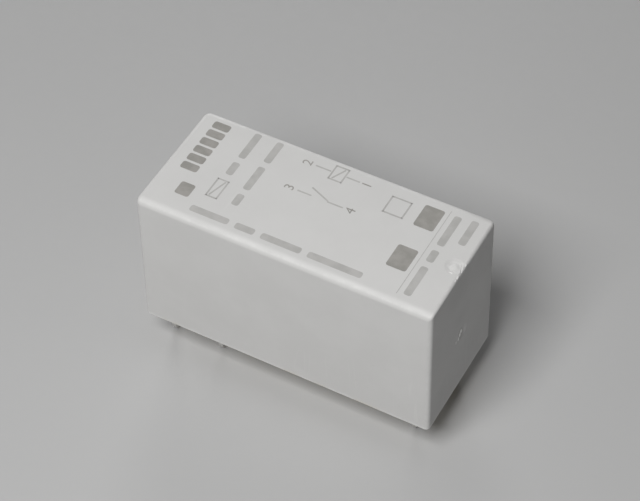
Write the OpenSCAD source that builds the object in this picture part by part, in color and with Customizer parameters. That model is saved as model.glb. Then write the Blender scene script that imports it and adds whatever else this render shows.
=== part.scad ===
// Printed-circuit power relay: a sealed box with a lying coil, a hinged armature,
// a sliding actuator card and one normally open pair of contacts on doubled pins.
// The origin is the middle of the footprint on the board's surface, in millimetres.
// +X runs from the contact pins to the coil pins, and +Z is up from the board.

/* [Cover] */
// Length of the cover over its rim
cover_l = 29; // [28:0.1:33]
// Width of the cover over its rim
cover_w = 12.7; // [12.3:0.1:15]
// Height of the cover's top above the board
relay_h = 15.7; // [15:0.1:20]
// Wall thickness of the cover
cover_wall = 0.8; // [0.6:0.05:1]
// Radius of the cover's outer edges
cover_edge_r = 0.5; // [0.3:0.05:0.9]
// How far each wall leans in between rim and top
cover_draft = 0.12; // [0.02:0.01:0.2]
// Gap between the cover's rim and the board
rim_gap = 0.3; // [0.2:0.05:0.5]
// Diameter of the vent's recess in the top
vent_d = 1.8; // [1.4:0.1:2.2]
// Depth of the vent's recess
vent_depth = 0.2; // [0.1:0.05:0.35]
// Diameter of the nib that closes the vent
vent_nib_d = 0.9; // [0.6:0.05:1.1]
// Distance of the vent's centre from the end of the cover
vent_inset = 0.95; // [0.8:0.05:2]
// Diameter of the moulding gate's dimple in the end wall
gate_d = 1.6; // [1:0.1:2]
// Depth of the moulding gate's dimple
gate_depth = 0.14; // [0.05:0.01:0.3]
// Diameter of the gate's broken-off stub
gate_stub_d = 0.6; // [0.4:0.05:0.8]
// Distance of the gate below the middle of the cover's height
gate_drop = 0.6; // [0:0.1:3]

/* [Base] */
// Thickness of the base plate
base_t = 1.2; // [1:0.05:1.6]
// Thickness of the resin that seals the base into the cover
resin_t = 0.5; // [0.3:0.05:0.8]
// How far the resin lies above the cover's rim
resin_sink = 0.1; // [0.05:0.05:0.3]
// Diameter of the stand-off feet
foot_d = 1.5; // [1:0.1:2]
// Thickness of the barrier wall between contacts and coil
barrier_t = 0.8; // [0.6:0.05:1.2]
// Height of the pedestal under the fixed contact's terminal
pedestal_h = 1; // [0.6:0.1:1.6]

/* [Pins] */
// Length of the pins below the board's surface
pin_len = 3.6; // [2.8:0.1:5]
// Distance between the two rows of pins
row_pitch = 7.5; // [7.2:0.1:8]
// Distance between neighbouring contact pins
contact_pitch = 5; // [4.8:0.1:5.2]
// Distance of the outer contact pins from the end of the cover
contact_margin = 1.5; // [1.4:0.05:2]
// Distance of the coil pins from the other end of the cover
coil_margin = 2.5; // [2.3:0.05:2.8]
// Width of a contact pin
leg_w = 1; // [0.8:0.05:1.2]
// Thickness of the contact terminals' sheet
leg_t = 0.5; // [0.4:0.05:0.6]
// Side of the square coil pins
coil_pin_w = 0.6; // [0.5:0.05:0.7]
// Length of the taper at a pin's tip
pin_taper = 0.35; // [0.2:0.05:0.6]

/* [Magnet] */
// Thickness of the yoke's iron
yoke_t = 1.3; // [1:0.05:1.6]
// Width of the yoke
yoke_w = 9; // [7:0.1:9.4]
// Diameter of the core
core_d = 4; // [3:0.1:4.6]
// Diameter of the core's pole face
pole_d = 6.4; // [5:0.1:7]
// Thickness of the core's pole head
pole_t = 0.5; // [0.4:0.05:0.8]
// Wall thickness of the bobbin's barrel
barrel_wall = 0.6; // [0.4:0.05:0.9]
// Thickness of the bobbin's flanges
flange_t = 0.7; // [0.5:0.05:1]
// Thickness of the armature
armature_t = 1.2; // [0.9:0.05:1.4]
// Width of the armature in front of the pole
armature_w = 8.8; // [7:0.1:9.6]
// Width of the armature at its hinge, between the coil pins
armature_foot_w = 5; // [4:0.1:5.2]
// How far the armature stands open at rest, in degrees
open_angle = 4.2; // [3:0.1:5]
// Thickness of the hinge spring
hinge_spring_t = 0.15; // [0.1:0.01:0.2]
// Width of the hinge spring
hinge_spring_w = 4; // [3:0.1:4.4]
// Thickness of the tape round the coil
tape_t = 0.08; // [0.05:0.01:0.15]
// Bare winding left at each end of the tape
tape_inset = 1.2; // [0.8:0.1:2]
// Diameter of the coil's lead wire
lead_d = 0.2; // [0.15:0.01:0.3]

/* [Contacts] */
// Thickness of the contact spring
blade_t = 0.25; // [0.15:0.01:0.35]
// Width of the contact spring at its contact
blade_w = 4.4; // [3.6:0.1:5]
// Width of the spring's tongue in the card
tongue_w = 2.6; // [2:0.1:3.2]
// Diameter of the moving contact
moving_d = 3; // [2.4:0.1:3.4]
// Thickness of the moving contact's head with its dome
moving_head = 0.7; // [0.5:0.05:1]
// Height of the dome on the moving contact
dome_h = 0.28; // [0.24:0.01:0.4]
// Diameter of the fixed contact
fixed_d = 3.2; // [2.6:0.1:3.6]
// Thickness of the fixed contact's head
fixed_head = 0.8; // [0.5:0.05:1]
// Width of the fixed contact's upright
upright_w = 4.8; // [4:0.1:6]
// Diameter of the rivets that hold the contact spring
rivet_d = 1.2; // [0.9:0.05:1.3]

/* [Actuator card] */
// Thickness of the card
card_t = 1; // [0.8:0.05:1.2]
// Width of the card
card_w = 4.4; // [4:0.1:5]
// Width of the armature's tab in the card
tab_w = 2.4; // [1.8:0.1:2.8]
// Height of the card's stiffening rib
card_rib_h = 0.3; // [0.2:0.05:0.4]

/* [Fits] */
// Gap of fixed pieces that are slipped together
fit_gap = 0.05; // [0.02:0.01:0.08]
// Gap of pieces that slide or swing past each other
run_gap = 0.1; // [0.06:0.01:0.14]
// Gap between the inner pieces and the cover's walls
wall_gap = 0.25; // [0.2:0.01:0.3]

/* [Hidden] */
$fn = 48;
edge_fn = 32;       // facets of the cover's rounded edges
through = 1;        // how far a cutting tool runs past a face
root = 0.2;         // how far a raised feature starts inside what carries it
plate_round = 0.4;  // corner radius of flat plates

cover_inner_r = 0.25;
slice = 0.01;       // height of the flat ring that starts a leaning box

// Lean of the cover's walls at a height, and the half length and width of its inside there
function lean(z) = cover_draft * (z - rim_gap) / (relay_h - rim_gap);
function inside_x(z) = cover_l / 2 - cover_wall - lean(z);
function inside_y(z) = cover_w / 2 - cover_wall - lean(z);

// Heights, from the board upwards
resin_z = rim_gap + resin_sink;
base_z0 = resin_z + resin_t;
base_z1 = base_z0 + base_t;
yoke_z1 = base_z1 + yoke_t;
ceiling_z = relay_h - cover_wall;
card_z1 = ceiling_z - card_rib_h - wall_gap;
card_z0 = card_z1 - card_t;
card_mid_z = (card_z0 + card_z1) / 2;
flange_z1 = card_z0 - run_gap;
coil_z = (yoke_z1 + flange_z1) / 2;
guide_z = card_z1 - run_gap;

// Half widths of the inner pieces
flange_y = inside_y(card_z1) - wall_gap;
base_y = inside_y(base_z1) - fit_gap;
base_x = inside_x(base_z1) - fit_gap;
row_y = row_pitch / 2;
guide_y = card_w / 2 + run_gap;
foot_y = inside_y(resin_z) - foot_d / 2 - wall_gap - run_gap;

// Pin rows along the length
no_x = -cover_l / 2 + contact_margin;
com_x = no_x + contact_pitch;
spare_x = com_x + contact_pitch;
coil_pin_x = cover_l / 2 - coil_margin;
feet_x = [(no_x + com_x) / 2, coil_pin_x - contact_pitch / 2];

// Magnet along the length: the armature's travel sets the pole's place
rest_gap = 0.03;                // air left under the armature when it is drawn in
card_bar = 0.5;                 // card's closing bar behind the armature's tab
swage_h = 0.25;                 // riveted end of the core behind the yoke
swage_d = 3.4;
stake_d = 2.8;                  // core's stepped end in the yoke
yoke_bend_r = 0.4;              // inner radius of the yoke's bend
spare_room = 0.45;              // wall of the spare pins' pockets towards the barrier
barrier_x0 = spare_x + leg_t / 2 + spare_room;
barrier_x1 = barrier_x0 + barrier_t;
yoke_x0 = barrier_x1 + swage_h + run_gap;
yoke_x1 = yoke_x0 + yoke_t;
card_x1 = inside_x(card_z1) - wall_gap;
window_x1 = card_x1 - card_bar;
pole_x = window_x1 - run_gap - (rest_gap + armature_t) / cos(open_angle)
    - (card_z1 - base_z1) * tan(open_angle);
window_x0 = pole_x + rest_gap / cos(open_angle) + (card_z0 - base_z1) * tan(open_angle) - run_gap;
front_flange_x1 = pole_x - pole_t;
front_flange_x0 = front_flange_x1 - flange_t;
nose_back = 0.5;                // how far behind the front flange the yoke narrows
neck_x = front_flange_x0 - nose_back;
rail_t = 0.6;                   // rails of the base beside the yoke
ear_t = 0.8;                    // bobbin's ears beside the card
notch_w = 1;                    // notch in the flange where a lead leaves the winding
notch_h = 0.9;
rear_flange_x1 = yoke_x1 + flange_t;
barrel_d = core_d + 2 * fit_gap + 2 * barrel_wall;
flange_margin = 0.3;            // how far the flanges stand out of the winding
winding_d = 2 * (min((flange_z1 - yoke_z1) / 2, flange_y) - flange_margin);
block_h = 2.5;                  // height of the coil pins' blocks above the base
block_z = base_z1 + block_h;
post_h = 1.4;                   // length of the coil pins above their blocks
post_z = block_z + post_h;

// Armature, drawn in its own plane with the pivot at the origin
tab_top = (card_z1 - base_z1) / cos(open_angle);
shoulder_drop = 1;              // how far the armature's shoulders stay below the card
post_room = 0.6;                // height of the armature's wide part over the coil pins
shoulder_top = (flange_z1 - base_z1) / cos(open_angle) - shoulder_drop;
armature_wide = (post_z + post_room - base_z1) / cos(open_angle);
foot_edge = 0.25;               // straight edge left at the armature's hinge end
foot_round = armature_t - foot_edge;
foot_up = 0.12;                 // clearance of the hinge end over the spring
stud_d = 1;                     // staked studs that hold the hinge spring
stud_h = 0.22;
stud_y = hinge_spring_w / 2 - 0.9 * stud_d;
stud_up = 4.6;                  // armature's studs above the pivot
stud_back = 4;                  // yoke's studs behind the pole

// Contacts along the length
blade_x1 = com_x - leg_t / 2;
blade_x0 = blade_x1 - blade_t;
clamp_h = 2.5;                  // height of the common terminal, where the spring starts to bend
clamp_z = base_z1 + clamp_h;
clamp_cut = 0.8;                // corners cut off the common terminal
rivet_z = base_z1 + clamp_h / 2;
rivet_y = 1.6;
rivet_head_d = 1.6 * rivet_d;
rivet_head_h = 0.3;
blade_foot_y = rivet_y + rivet_d;
blade_taper = 1.5;              // height over which the spring narrows above its clamp
neck_h = 0.6;                   // height over which it narrows to its tongue
blade_hinge_z = clamp_z + (card_mid_z - clamp_z) / 3;
contact_drop = 2;               // how far the contacts lie below the card
contact_z = card_z0 - run_gap - contact_drop;
card_travel = (card_mid_z - base_z1) * open_angle * PI / 180;
blade_angle = card_travel / (card_mid_z - blade_hinge_z) * 180 / PI;
touch_gap = 0.06;               // air left at the closed contacts, so that the solids never meet
contact_gap = tan(blade_angle) * (contact_z - blade_hinge_z) + touch_gap;
fixed_face_x = blade_x0 - moving_head - contact_gap;
upright_x1 = fixed_face_x - fixed_head;
upright_x0 = upright_x1 - leg_t;
upright_mid_x = (upright_x0 + upright_x1) / 2;
tongue_z = contact_z + moving_d / 2 + root;     // foot of the spring's tongue
upright_rim = 0.15;             // metal left above the fixed contact
upright_top = contact_z + fixed_d / 2 + upright_rim;
shelf_z = base_z1 + pedestal_h + leg_t / 2;
bend_r = leg_t;                 // middle radius of a terminal's bends
shank_d = 1.5;                  // contact rivets' shanks and tails
tail_d = 2.2;
tail_h = 0.3;
tilt_room = 0.06;               // extra room for the spring's tongue as it tilts
slot_gap = run_gap + tilt_room;
card_lip = 0.7;                 // card left outside the spring's slot
card_x0 = blade_x0 - slot_gap - card_lip;
lug_t = 0.8;                    // card's stop lug
lug_w = 2.8;
lug_drop = 0.9;
rib_w = 1;
rib_end = 0.8;                  // distance of the rib's ends from the card's slots

// Shapes that repeat

// A bent strip about its bend's centre: one arm runs along +X below, the other up on the left
module elbow(r, t, length, height, tilt = 0) {
    outer = r + t / 2;
    difference() {
        elbow_fill(outer, outer, length, height, tilt);
        elbow_fill(r - t / 2, outer + through, length + through, height + through, tilt);
    }
}

// The area that a bent strip's outer or inner side encloses
module elbow_fill(r, reach, length, height, tilt) {
    circle(r);
    translate([0, -r]) square([length, r + reach]);
    rotate(tilt) translate([-r, 0]) square([r + reach, height]);
}

// A profile drawn as X across and Z up, given a width along Y
module across(width) {
    translate([0, width / 2, 0]) rotate([90, 0, 0]) linear_extrude(width) children();
}

// An outline drawn as Y across and Z up, given a thickness along +X from x
module along(x, thickness) {
    translate([x, 0, 0]) rotate([90, 0, 90]) linear_extrude(thickness) children();
}

// A rod along +X
module rod(x, length, d, y = 0, z = 0) {
    translate([x, y, z]) rotate([0, 90, 0]) cylinder(d = d, h = length);
}

// Its children on both sides of the middle
module both_sides() {
    children();
    mirror([0, 1, 0]) children();
}

// A box given by its corners
module box(low, high) {
    translate(low) cube(high - low);
}

// A box whose walls lean in towards a top with rounded edges
module leaning_box(half_l, half_w, z0, z1, r, lean_in) {
    hull() for (sx = [-1, 1], sy = [-1, 1]) {
        translate([sx * (half_l - r), sy * (half_w - r), z0]) cylinder(r = r, h = slice, $fn = edge_fn);
        translate([sx * (half_l - lean_in - r), sy * (half_w - lean_in - r), z1 - r])
            rotate_extrude($fn = edge_fn) intersection() {
                circle(r, $fn = edge_fn);
                square(r);
            }
    }
}

// The room inside the cover, open past its rim
module cover_inside() {
    start = rim_gap - through;
    leaning_box(inside_x(start), inside_y(start), start, ceiling_z,
        cover_inner_r, lean(ceiling_z) - lean(start));
}

// Outline of a flat plate with rounded corners
module rounded_plate(half_a, half_b, r) {
    square([2 * (half_a - r), 2 * half_b], center = true);
    square([2 * half_a, 2 * (half_b - r)], center = true);
    for (sa = [-1, 1], sb = [-1, 1]) translate([sa * (half_a - r), sb * (half_b - r)]) circle(r);
}

// Outline of the pair of legs of a contact terminal, up to its shoulder on the base
module leg_pair() {
    for (side = [-1, 1]) translate([side * row_y, 0]) polygon([
        [-leg_w / 2, base_z1], [-leg_w / 2, pin_taper - pin_len], [-leg_w / 4, -pin_len],
        [leg_w / 4, -pin_len], [leg_w / 2, pin_taper - pin_len], [leg_w / 2, base_z1]]);
}

// Holes of the contact legs and coil pins, widened by a gap, through all heights given
module pin_holes(gap, z0, z1) {
    for (side = [-1, 1]) {
        for (x = [no_x, com_x]) box([x - leg_t / 2 - gap, side * row_y - leg_w / 2 - gap, z0],
            [x + leg_t / 2 + gap, side * row_y + leg_w / 2 + gap, z1]);
        box([coil_pin_x - coil_pin_w / 2 - gap, side * row_y - coil_pin_w / 2 - gap, z0],
            [coil_pin_x + coil_pin_w / 2 + gap, side * row_y + coil_pin_w / 2 + gap, z1]);
    }
}

// Stand-off feet at the corners of the footprint
module feet(z1) {
    for (x = feet_x, side = [-1, 1]) translate([x, side * foot_y, 0]) cylinder(d = foot_d, h = z1);
}

// Stands its children on the hinge line, leaning out as the open armature does
module at_hinge() {
    translate([pole_x, 0, base_z1]) rotate([0, open_angle, 0]) children();
}

// Housing

module cover() {
    gate_z = relay_h / 2 - gate_drop;
    end_x = cover_l / 2 - lean(gate_z);
    nib_share = 0.8;            // height of the nib and the stub as a share of their recess
    color("gainsboro") difference() {
        leaning_box(cover_l / 2, cover_w / 2, rim_gap, relay_h, cover_edge_r, cover_draft);
        cover_inside();
        translate([cover_l / 2 - vent_inset, 0, relay_h - vent_depth]) difference() {
            cylinder(d = vent_d, h = through);
            cylinder(d = vent_nib_d, h = vent_depth * nib_share);
        }
        difference() {
            rod(end_x - gate_depth, through, gate_d, 0, gate_z);
            rod(end_x - gate_depth, gate_depth * nib_share, gate_stub_d, 0, gate_z);
        }
    }
}

module base() {
    spring_bay = pole_x - stud_back - stud_d - fit_gap;
    color("dimgray") difference() {
        union() {
            translate([0, 0, base_z0]) linear_extrude(base_t) rounded_plate(base_x, base_y, plate_round);
            feet(base_z0 + base_t / 2);
            barrier();
            // Pedestal under the fixed contact's terminal
            box([no_x + leg_t, -upright_w / 2, base_z1 - root],
                [upright_x0 - leg_t / 2, upright_w / 2, shelf_z - leg_t / 2]);
            // Rails that hold the yoke between them
            both_sides() box([yoke_x0, yoke_w / 2 + fit_gap, base_z1 - root],
                [neck_x, yoke_w / 2 + fit_gap + rail_t, yoke_z1 - run_gap]);
        }
        pin_holes(fit_gap / 2, base_z0 - through, base_z1 + through);
        // Blind pockets of the pins that a changeover contact would use
        for (side = [-1, 1]) translate([spare_x, side * row_y, base_z1 - base_t / 2])
            linear_extrude(base_t) square([leg_t, leg_w], center = true);
        // Bay for the hinge spring under the yoke and the armature
        box([spring_bay, -hinge_spring_w / 2 - run_gap, base_z1 - hinge_spring_t - root],
            [coil_pin_x + through, hinge_spring_w / 2 + run_gap, base_z1 + through]);
    }
}

// Wall that parts the contacts from the coil, notched for the card
module barrier() {
    difference() {
        box([barrier_x0, -flange_y, base_z1 - root], [barrier_x1, flange_y, guide_z]);
        box([barrier_x0 - through, -guide_y, flange_z1],
            [barrier_x1 + through, guide_y, guide_z + through]);
    }
}

module sealing_resin() {
    color("ivory") difference() {
        intersection() {
            cover_inside();
            box([-cover_l, -cover_w, resin_z], [cover_l, cover_w, base_z0]);
        }
        pin_holes(0, resin_z - through, base_z0 + through);
        feet(base_z0 + through);
    }
}

// Magnet

module bobbin() {
    color("black") difference() {
        union() {
            rod(yoke_x1, front_flange_x1 - yoke_x1, barrel_d, 0, coil_z);
            for (x = [yoke_x1, front_flange_x0]) along(x, flange_t) translate([0, coil_z])
                rounded_plate(flange_y, (flange_z1 - yoke_z1) / 2, 2 * plate_round);
            both_sides() {
                // Ear that guides the card
                box([front_flange_x0, guide_y, flange_z1 - 2 * plate_round],
                    [front_flange_x1, guide_y + ear_t, guide_z]);
                // Block that holds the coil pin
                box([front_flange_x0, row_y - 1.5 * coil_pin_w, base_z1],
                    [coil_pin_x + 1.5 * coil_pin_w, flange_y, block_z]);
            }
        }
        rod(yoke_x1 - through, front_flange_x1 - yoke_x1 + 2 * through, core_d + 2 * fit_gap, 0, coil_z);
        // Room for the yoke's bend
        box([yoke_x1 - through, -cover_w, yoke_z1 - through],
            [yoke_x1 + yoke_bend_r, cover_w, yoke_z1 + yoke_bend_r]);
        both_sides() {
            translate([coil_pin_x, row_y, base_z1 - through])
                linear_extrude(2 * through + block_z) square(coil_pin_w + fit_gap, center = true);
            // Notch where the lead leaves the winding
            box([front_flange_x0 - through, row_y - notch_w, block_z],
                [front_flange_x1 + through, row_y, block_z + notch_h]);
        }
    }
}

module coil_winding() {
    length = front_flange_x0 - rear_flange_x1;
    color("peru") difference() {
        rod(rear_flange_x1, length, winding_d, 0, coil_z);
        rod(rear_flange_x1 - through, length + 2 * through, barrel_d, 0, coil_z);
    }
}

// Tape that covers the middle of the winding
module coil_tape() {
    start = rear_flange_x1 + tape_inset;
    length = front_flange_x0 - tape_inset - start;
    color("khaki") difference() {
        rod(start, length, winding_d + 2 * tape_t, 0, coil_z);
        rod(start - through, length + 2 * through, winding_d, 0, coil_z);
    }
}

// Lead from the winding to a pin, where it is wrapped round the post
module coil_lead(side) {
    wrap_h = 3 * lead_d;
    wrap_z = (block_z + post_z - wrap_h) / 2;
    wrap_in = coil_pin_w / sqrt(2) * 1.02;
    start_y = row_y - 0.7 * notch_w;
    clear_r = winding_d / 2 + lead_d;
    start = [front_flange_x0 - 2 * lead_d, start_y, coil_z - sqrt(clear_r * clear_r - start_y * start_y)];
    end = [coil_pin_x - wrap_in - lead_d / 2, row_y, wrap_z + lead_d];
    way = end - start;
    color("peru") scale([1, side, 1]) {
        translate([coil_pin_x, row_y, wrap_z]) difference() {
            cylinder(r = wrap_in + lead_d, h = wrap_h);
            translate([0, 0, -through]) cylinder(r = wrap_in, h = 2 * through + wrap_h);
        }
        translate(start) rotate([0, acos(way.z / norm(way)), atan2(way.y, way.x)])
            cylinder(d = lead_d, h = norm(way));
    }
}

module coil_pin(side) {
    half = coil_pin_w / 2;
    color("silver") translate([coil_pin_x, side * row_y, 0]) intersection() {
        across(coil_pin_w) pin_outline(half);
        rotate([0, 0, 90]) across(coil_pin_w) pin_outline(half);
    }
}

module pin_outline(half) {
    polygon([[-half, post_z], [-half, pin_taper - pin_len], [-half / 2, -pin_len],
        [half / 2, -pin_len], [half, pin_taper - pin_len], [half, post_z]]);
}

module core() {
    color("slategray") {
        rod(yoke_x1, pole_x - yoke_x1, core_d, 0, coil_z);
        rod(front_flange_x1, pole_t, pole_d, 0, coil_z);
        rod(yoke_x0 - swage_h, yoke_x1 - yoke_x0 + swage_h, stake_d, 0, coil_z);
        rod(yoke_x0 - swage_h, swage_h, swage_d, 0, coil_z);
    }
}

module yoke() {
    bend = yoke_bend_r + yoke_t / 2;
    bend_x = yoke_x0 + bend + yoke_t / 2;
    bend_z = base_z1 + bend + yoke_t / 2;
    color("lightslategray") difference() {
        intersection() {
            across(yoke_w) translate([bend_x, bend_z])
                elbow(bend, yoke_t, pole_x - bend_x, coil_z + swage_d - bend_z);
            // Narrow nose between the blocks of the coil pins
            union() {
                box([yoke_x0 - through, -yoke_w, 0], [neck_x, yoke_w, relay_h]);
                box([yoke_x0 - through, -armature_foot_w / 2, 0],
                    [pole_x + through, armature_foot_w / 2, relay_h]);
            }
        }
        rod(yoke_x0 - through, yoke_t + 2 * through, stake_d, 0, coil_z);
    }
    color("lightslategray") for (side = [-1, 1])
        translate([pole_x - stud_back, side * stud_y, base_z1 - stud_h]) cylinder(d = stud_d, h = stud_h);
}

module hinge_spring() {
    bend = foot_round + hinge_spring_t / 2 + fit_gap;
    face = rest_gap + armature_t + hinge_spring_t / 2;
    foot_z = base_z1 - hinge_spring_t / 2;
    // Centre of the bend that joins the flat foot to the leaning leg
    bend_z = foot_z + bend;
    bend_x = pole_x + (face - bend + (bend_z - base_z1) * sin(open_angle)) / cos(open_angle);
    // The leg starts where the bend meets it, measured up the armature
    leg_start = (bend_x - pole_x) * sin(open_angle) + (bend_z - base_z1) * cos(open_angle);
    foot_x0 = pole_x - stud_back - stud_d;
    color("goldenrod") difference() {
        across(hinge_spring_w) translate([bend_x, bend_z]) mirror([1, 0])
            elbow(bend, hinge_spring_t, bend_x - foot_x0, stud_up + stud_d - leg_start, open_angle);
        for (side = [-1, 1]) {
            translate([pole_x - stud_back, side * stud_y, 0])
                cylinder(d = stud_d + fit_gap, h = base_z1 + through);
            at_hinge() rod(0, 2 * face, stud_d + fit_gap, side * stud_y, stud_up);
        }
    }
}

module armature() {
    half_foot = armature_foot_w / 2;
    half = armature_w / 2;
    color("lightslategray") at_hinge() {
        intersection() {
            along(rest_gap, armature_t) {
                translate([0, armature_wide]) rounded_slab(half, shoulder_top - armature_wide, plate_round);
                translate([-half_foot, foot_up]) square([2 * half_foot, armature_wide + through - foot_up]);
                translate([-tab_w / 2, armature_wide]) square([tab_w, tab_top - armature_wide]);
            }
            // Round hinge end for the spring to wrap
            across(armature_w + through) {
                translate([rest_gap, foot_up]) square([armature_t - foot_round, tab_top]);
                translate([rest_gap, foot_up + foot_round]) square([armature_t, tab_top]);
                translate([rest_gap + armature_t - foot_round, foot_up + foot_round]) circle(foot_round);
            }
        }
        for (side = [-1, 1]) rod(rest_gap + armature_t, stud_h, stud_d, side * stud_y, stud_up);
    }
}

// Outline from the base line upwards, with rounded corners
module rounded_slab(half, height, r) {
    translate([0, height / 2]) rounded_plate(half, height / 2, r);
}

// Contacts

module actuator_card() {
    color("whitesmoke") difference() {
        union() {
            box([card_x0, -card_w / 2, card_z0], [card_x1, card_w / 2, card_z1]);
            // Stiffening rib between the two slots
            box([blade_x1 + slot_gap + rib_end, -rib_w / 2, card_z1 - root],
                [window_x0 - rib_end, rib_w / 2, card_z1 + card_rib_h]);
            // Lug that stops the card at the barrier
            box([barrier_x0 - run_gap - lug_t, -lug_w / 2, card_z0 - lug_drop],
                [barrier_x0 - run_gap, lug_w / 2, card_z0 + root]);
        }
        box([window_x0, -tab_w / 2 - run_gap, card_z0 - through],
            [window_x1, tab_w / 2 + run_gap, card_z1 + through]);
        box([blade_x0 - slot_gap, -tongue_w / 2 - run_gap, card_z0 - through],
            [blade_x1 + slot_gap, tongue_w / 2 + run_gap, card_z1 + through]);
    }
}

module common_terminal() {
    half = row_y + leg_w / 2;
    color("darkgoldenrod") difference() {
        along(com_x - leg_t / 2, leg_t) {
            leg_pair();
            polygon([[-half, base_z1], [half, base_z1], [half, clamp_z - clamp_cut],
                [half - clamp_cut, clamp_z], [clamp_cut - half, clamp_z], [-half, clamp_z - clamp_cut]]);
        }
        for (side = [-1, 1]) rod(com_x - leg_t, 2 * leg_t, rivet_d, side * rivet_y, rivet_z);
    }
}

module contact_spring() {
    // Points of the right-hand edge from the foot up; the left-hand edge mirrors them
    edge = [
        [blade_foot_y, base_z1 + run_gap], [blade_foot_y, clamp_z], [blade_w / 2, clamp_z + blade_taper],
        [blade_w / 2, tongue_z - neck_h], [tongue_w / 2, tongue_z], [tongue_w / 2, card_z1 + run_gap]];
    color("goldenrod") difference() {
        along(blade_x0, blade_t)
            polygon(concat(edge, [for (i = [len(edge) - 1:-1:0]) [-edge[i].x, edge[i].y]]));
        for (side = [-1, 1]) rod(blade_x0 - through, 2 * through + blade_t, rivet_d, side * rivet_y, rivet_z);
        rod(blade_x0 - through, 2 * through + blade_t, shank_d, 0, contact_z);
    }
}

module spring_rivets() {
    grip = blade_t + leg_t;
    color("darkkhaki") for (side = [-1, 1]) {
        rod(blade_x0 - rivet_head_h, rivet_head_h, rivet_head_d, side * rivet_y, rivet_z);
        rod(blade_x0 - rivet_head_h, grip + 2 * rivet_head_h, rivet_d, side * rivet_y, rivet_z);
        rod(blade_x0 + grip, rivet_head_h, rivet_head_d, side * rivet_y, rivet_z);
    }
}

module moving_contact() {
    dome_r = (moving_d * moving_d / 4 + dome_h * dome_h) / (2 * dome_h);
    tip_x = blade_x0 - moving_head;
    color("lightgray") {
        intersection() {
            rod(tip_x, moving_head, moving_d, 0, contact_z);
            translate([tip_x + dome_r, 0, contact_z]) sphere(dome_r, $fn = 96);
        }
        rod(blade_x0 - root, root + blade_t + tail_h, shank_d, 0, contact_z);
        rod(blade_x1, tail_h, tail_d, 0, contact_z);
    }
}

module normally_open_terminal() {
    half = row_y + leg_w / 2;
    bar_z = shelf_z + leg_t / 2 + bend_r;
    shelf_l = upright_mid_x - no_x - 2 * bend_r;
    color("darkgoldenrod") difference() {
        intersection() {
            across(2 * half + through) {
                translate([no_x + bend_r, shelf_z - bend_r]) mirror([0, 1])
                    elbow(bend_r, leg_t, shelf_l, shelf_z - bend_r + pin_len);
                translate([upright_mid_x - bend_r, shelf_z + bend_r]) mirror([1, 0])
                    elbow(bend_r, leg_t, shelf_l, upright_top - shelf_z - bend_r);
            }
            along(no_x - leg_t, upright_x1 - no_x + 2 * leg_t) {
                leg_pair();
                translate([-half, base_z1]) square([2 * half, bar_z - base_z1]);
                translate([0, bar_z - leg_t])
                    rounded_slab(upright_w / 2, upright_top - bar_z + leg_t, plate_round);
            }
        }
        rod(upright_x0 - through, leg_t + 2 * through, shank_d, 0, contact_z);
    }
}

module fixed_contact() {
    color("lightgray") {
        rod(upright_x1, fixed_head, fixed_d, 0, contact_z);
        rod(upright_x0 - tail_h, tail_h + leg_t + root, shank_d, 0, contact_z);
        rod(upright_x0 - tail_h, tail_h, tail_d, 0, contact_z);
    }
}

cover();
base();
sealing_resin();
bobbin();
coil_winding();
coil_tape();
coil_lead(1);  // coil_lead_left
coil_lead(-1);  // coil_lead_right
coil_pin(1);  // coil_pin_left
coil_pin(-1);  // coil_pin_right
core();
yoke();
hinge_spring();
armature();
actuator_card();
common_terminal();
contact_spring();
spring_rivets();
moving_contact();
normally_open_terminal();
fixed_contact();
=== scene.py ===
"""Looks of a sealed power relay for circuit boards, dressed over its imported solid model.

Lengths are in metres, in the solid model's own frame: +X runs from the contact pins to the coil
pins, +Y across, +Z up, and the board's surface is at z = 0.
"""

from __future__ import annotations

import logging
import math
from dataclasses import dataclass, replace
from enum import Enum
from typing import Callable, Sequence

import bmesh
import bpy
import numpy as np
from mathutils import Matrix, Vector


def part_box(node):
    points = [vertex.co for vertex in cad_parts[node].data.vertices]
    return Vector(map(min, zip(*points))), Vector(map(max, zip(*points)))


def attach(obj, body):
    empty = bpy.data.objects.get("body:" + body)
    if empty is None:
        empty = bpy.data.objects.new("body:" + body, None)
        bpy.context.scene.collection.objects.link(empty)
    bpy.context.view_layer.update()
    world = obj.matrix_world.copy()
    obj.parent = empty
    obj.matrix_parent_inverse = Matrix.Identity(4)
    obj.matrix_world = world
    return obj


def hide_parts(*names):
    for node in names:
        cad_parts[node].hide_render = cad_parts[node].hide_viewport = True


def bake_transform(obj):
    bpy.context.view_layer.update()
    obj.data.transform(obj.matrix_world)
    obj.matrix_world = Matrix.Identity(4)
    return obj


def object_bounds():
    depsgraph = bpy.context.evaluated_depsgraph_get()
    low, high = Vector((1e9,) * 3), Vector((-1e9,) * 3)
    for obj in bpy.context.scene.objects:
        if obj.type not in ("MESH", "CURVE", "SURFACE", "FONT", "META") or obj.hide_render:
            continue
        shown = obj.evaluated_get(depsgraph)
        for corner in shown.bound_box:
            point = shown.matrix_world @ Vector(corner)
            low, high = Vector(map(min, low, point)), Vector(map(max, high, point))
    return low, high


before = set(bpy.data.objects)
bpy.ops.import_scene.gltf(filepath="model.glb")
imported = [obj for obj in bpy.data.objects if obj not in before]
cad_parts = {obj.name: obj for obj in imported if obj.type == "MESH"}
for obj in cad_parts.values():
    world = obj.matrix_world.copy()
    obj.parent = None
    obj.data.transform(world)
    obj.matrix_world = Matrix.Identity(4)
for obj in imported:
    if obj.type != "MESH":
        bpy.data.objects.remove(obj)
CAD_LOW, CAD_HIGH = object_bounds()

LOG = logging.getLogger("relay")
Object = bpy.types.Object
Edge = bmesh.types.BMEdge
Socket = bpy.types.NodeSocket
Sockets = bpy.types.NodeOutputs
Colour = tuple[float, float, float]
Spot = Sequence[float]

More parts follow.
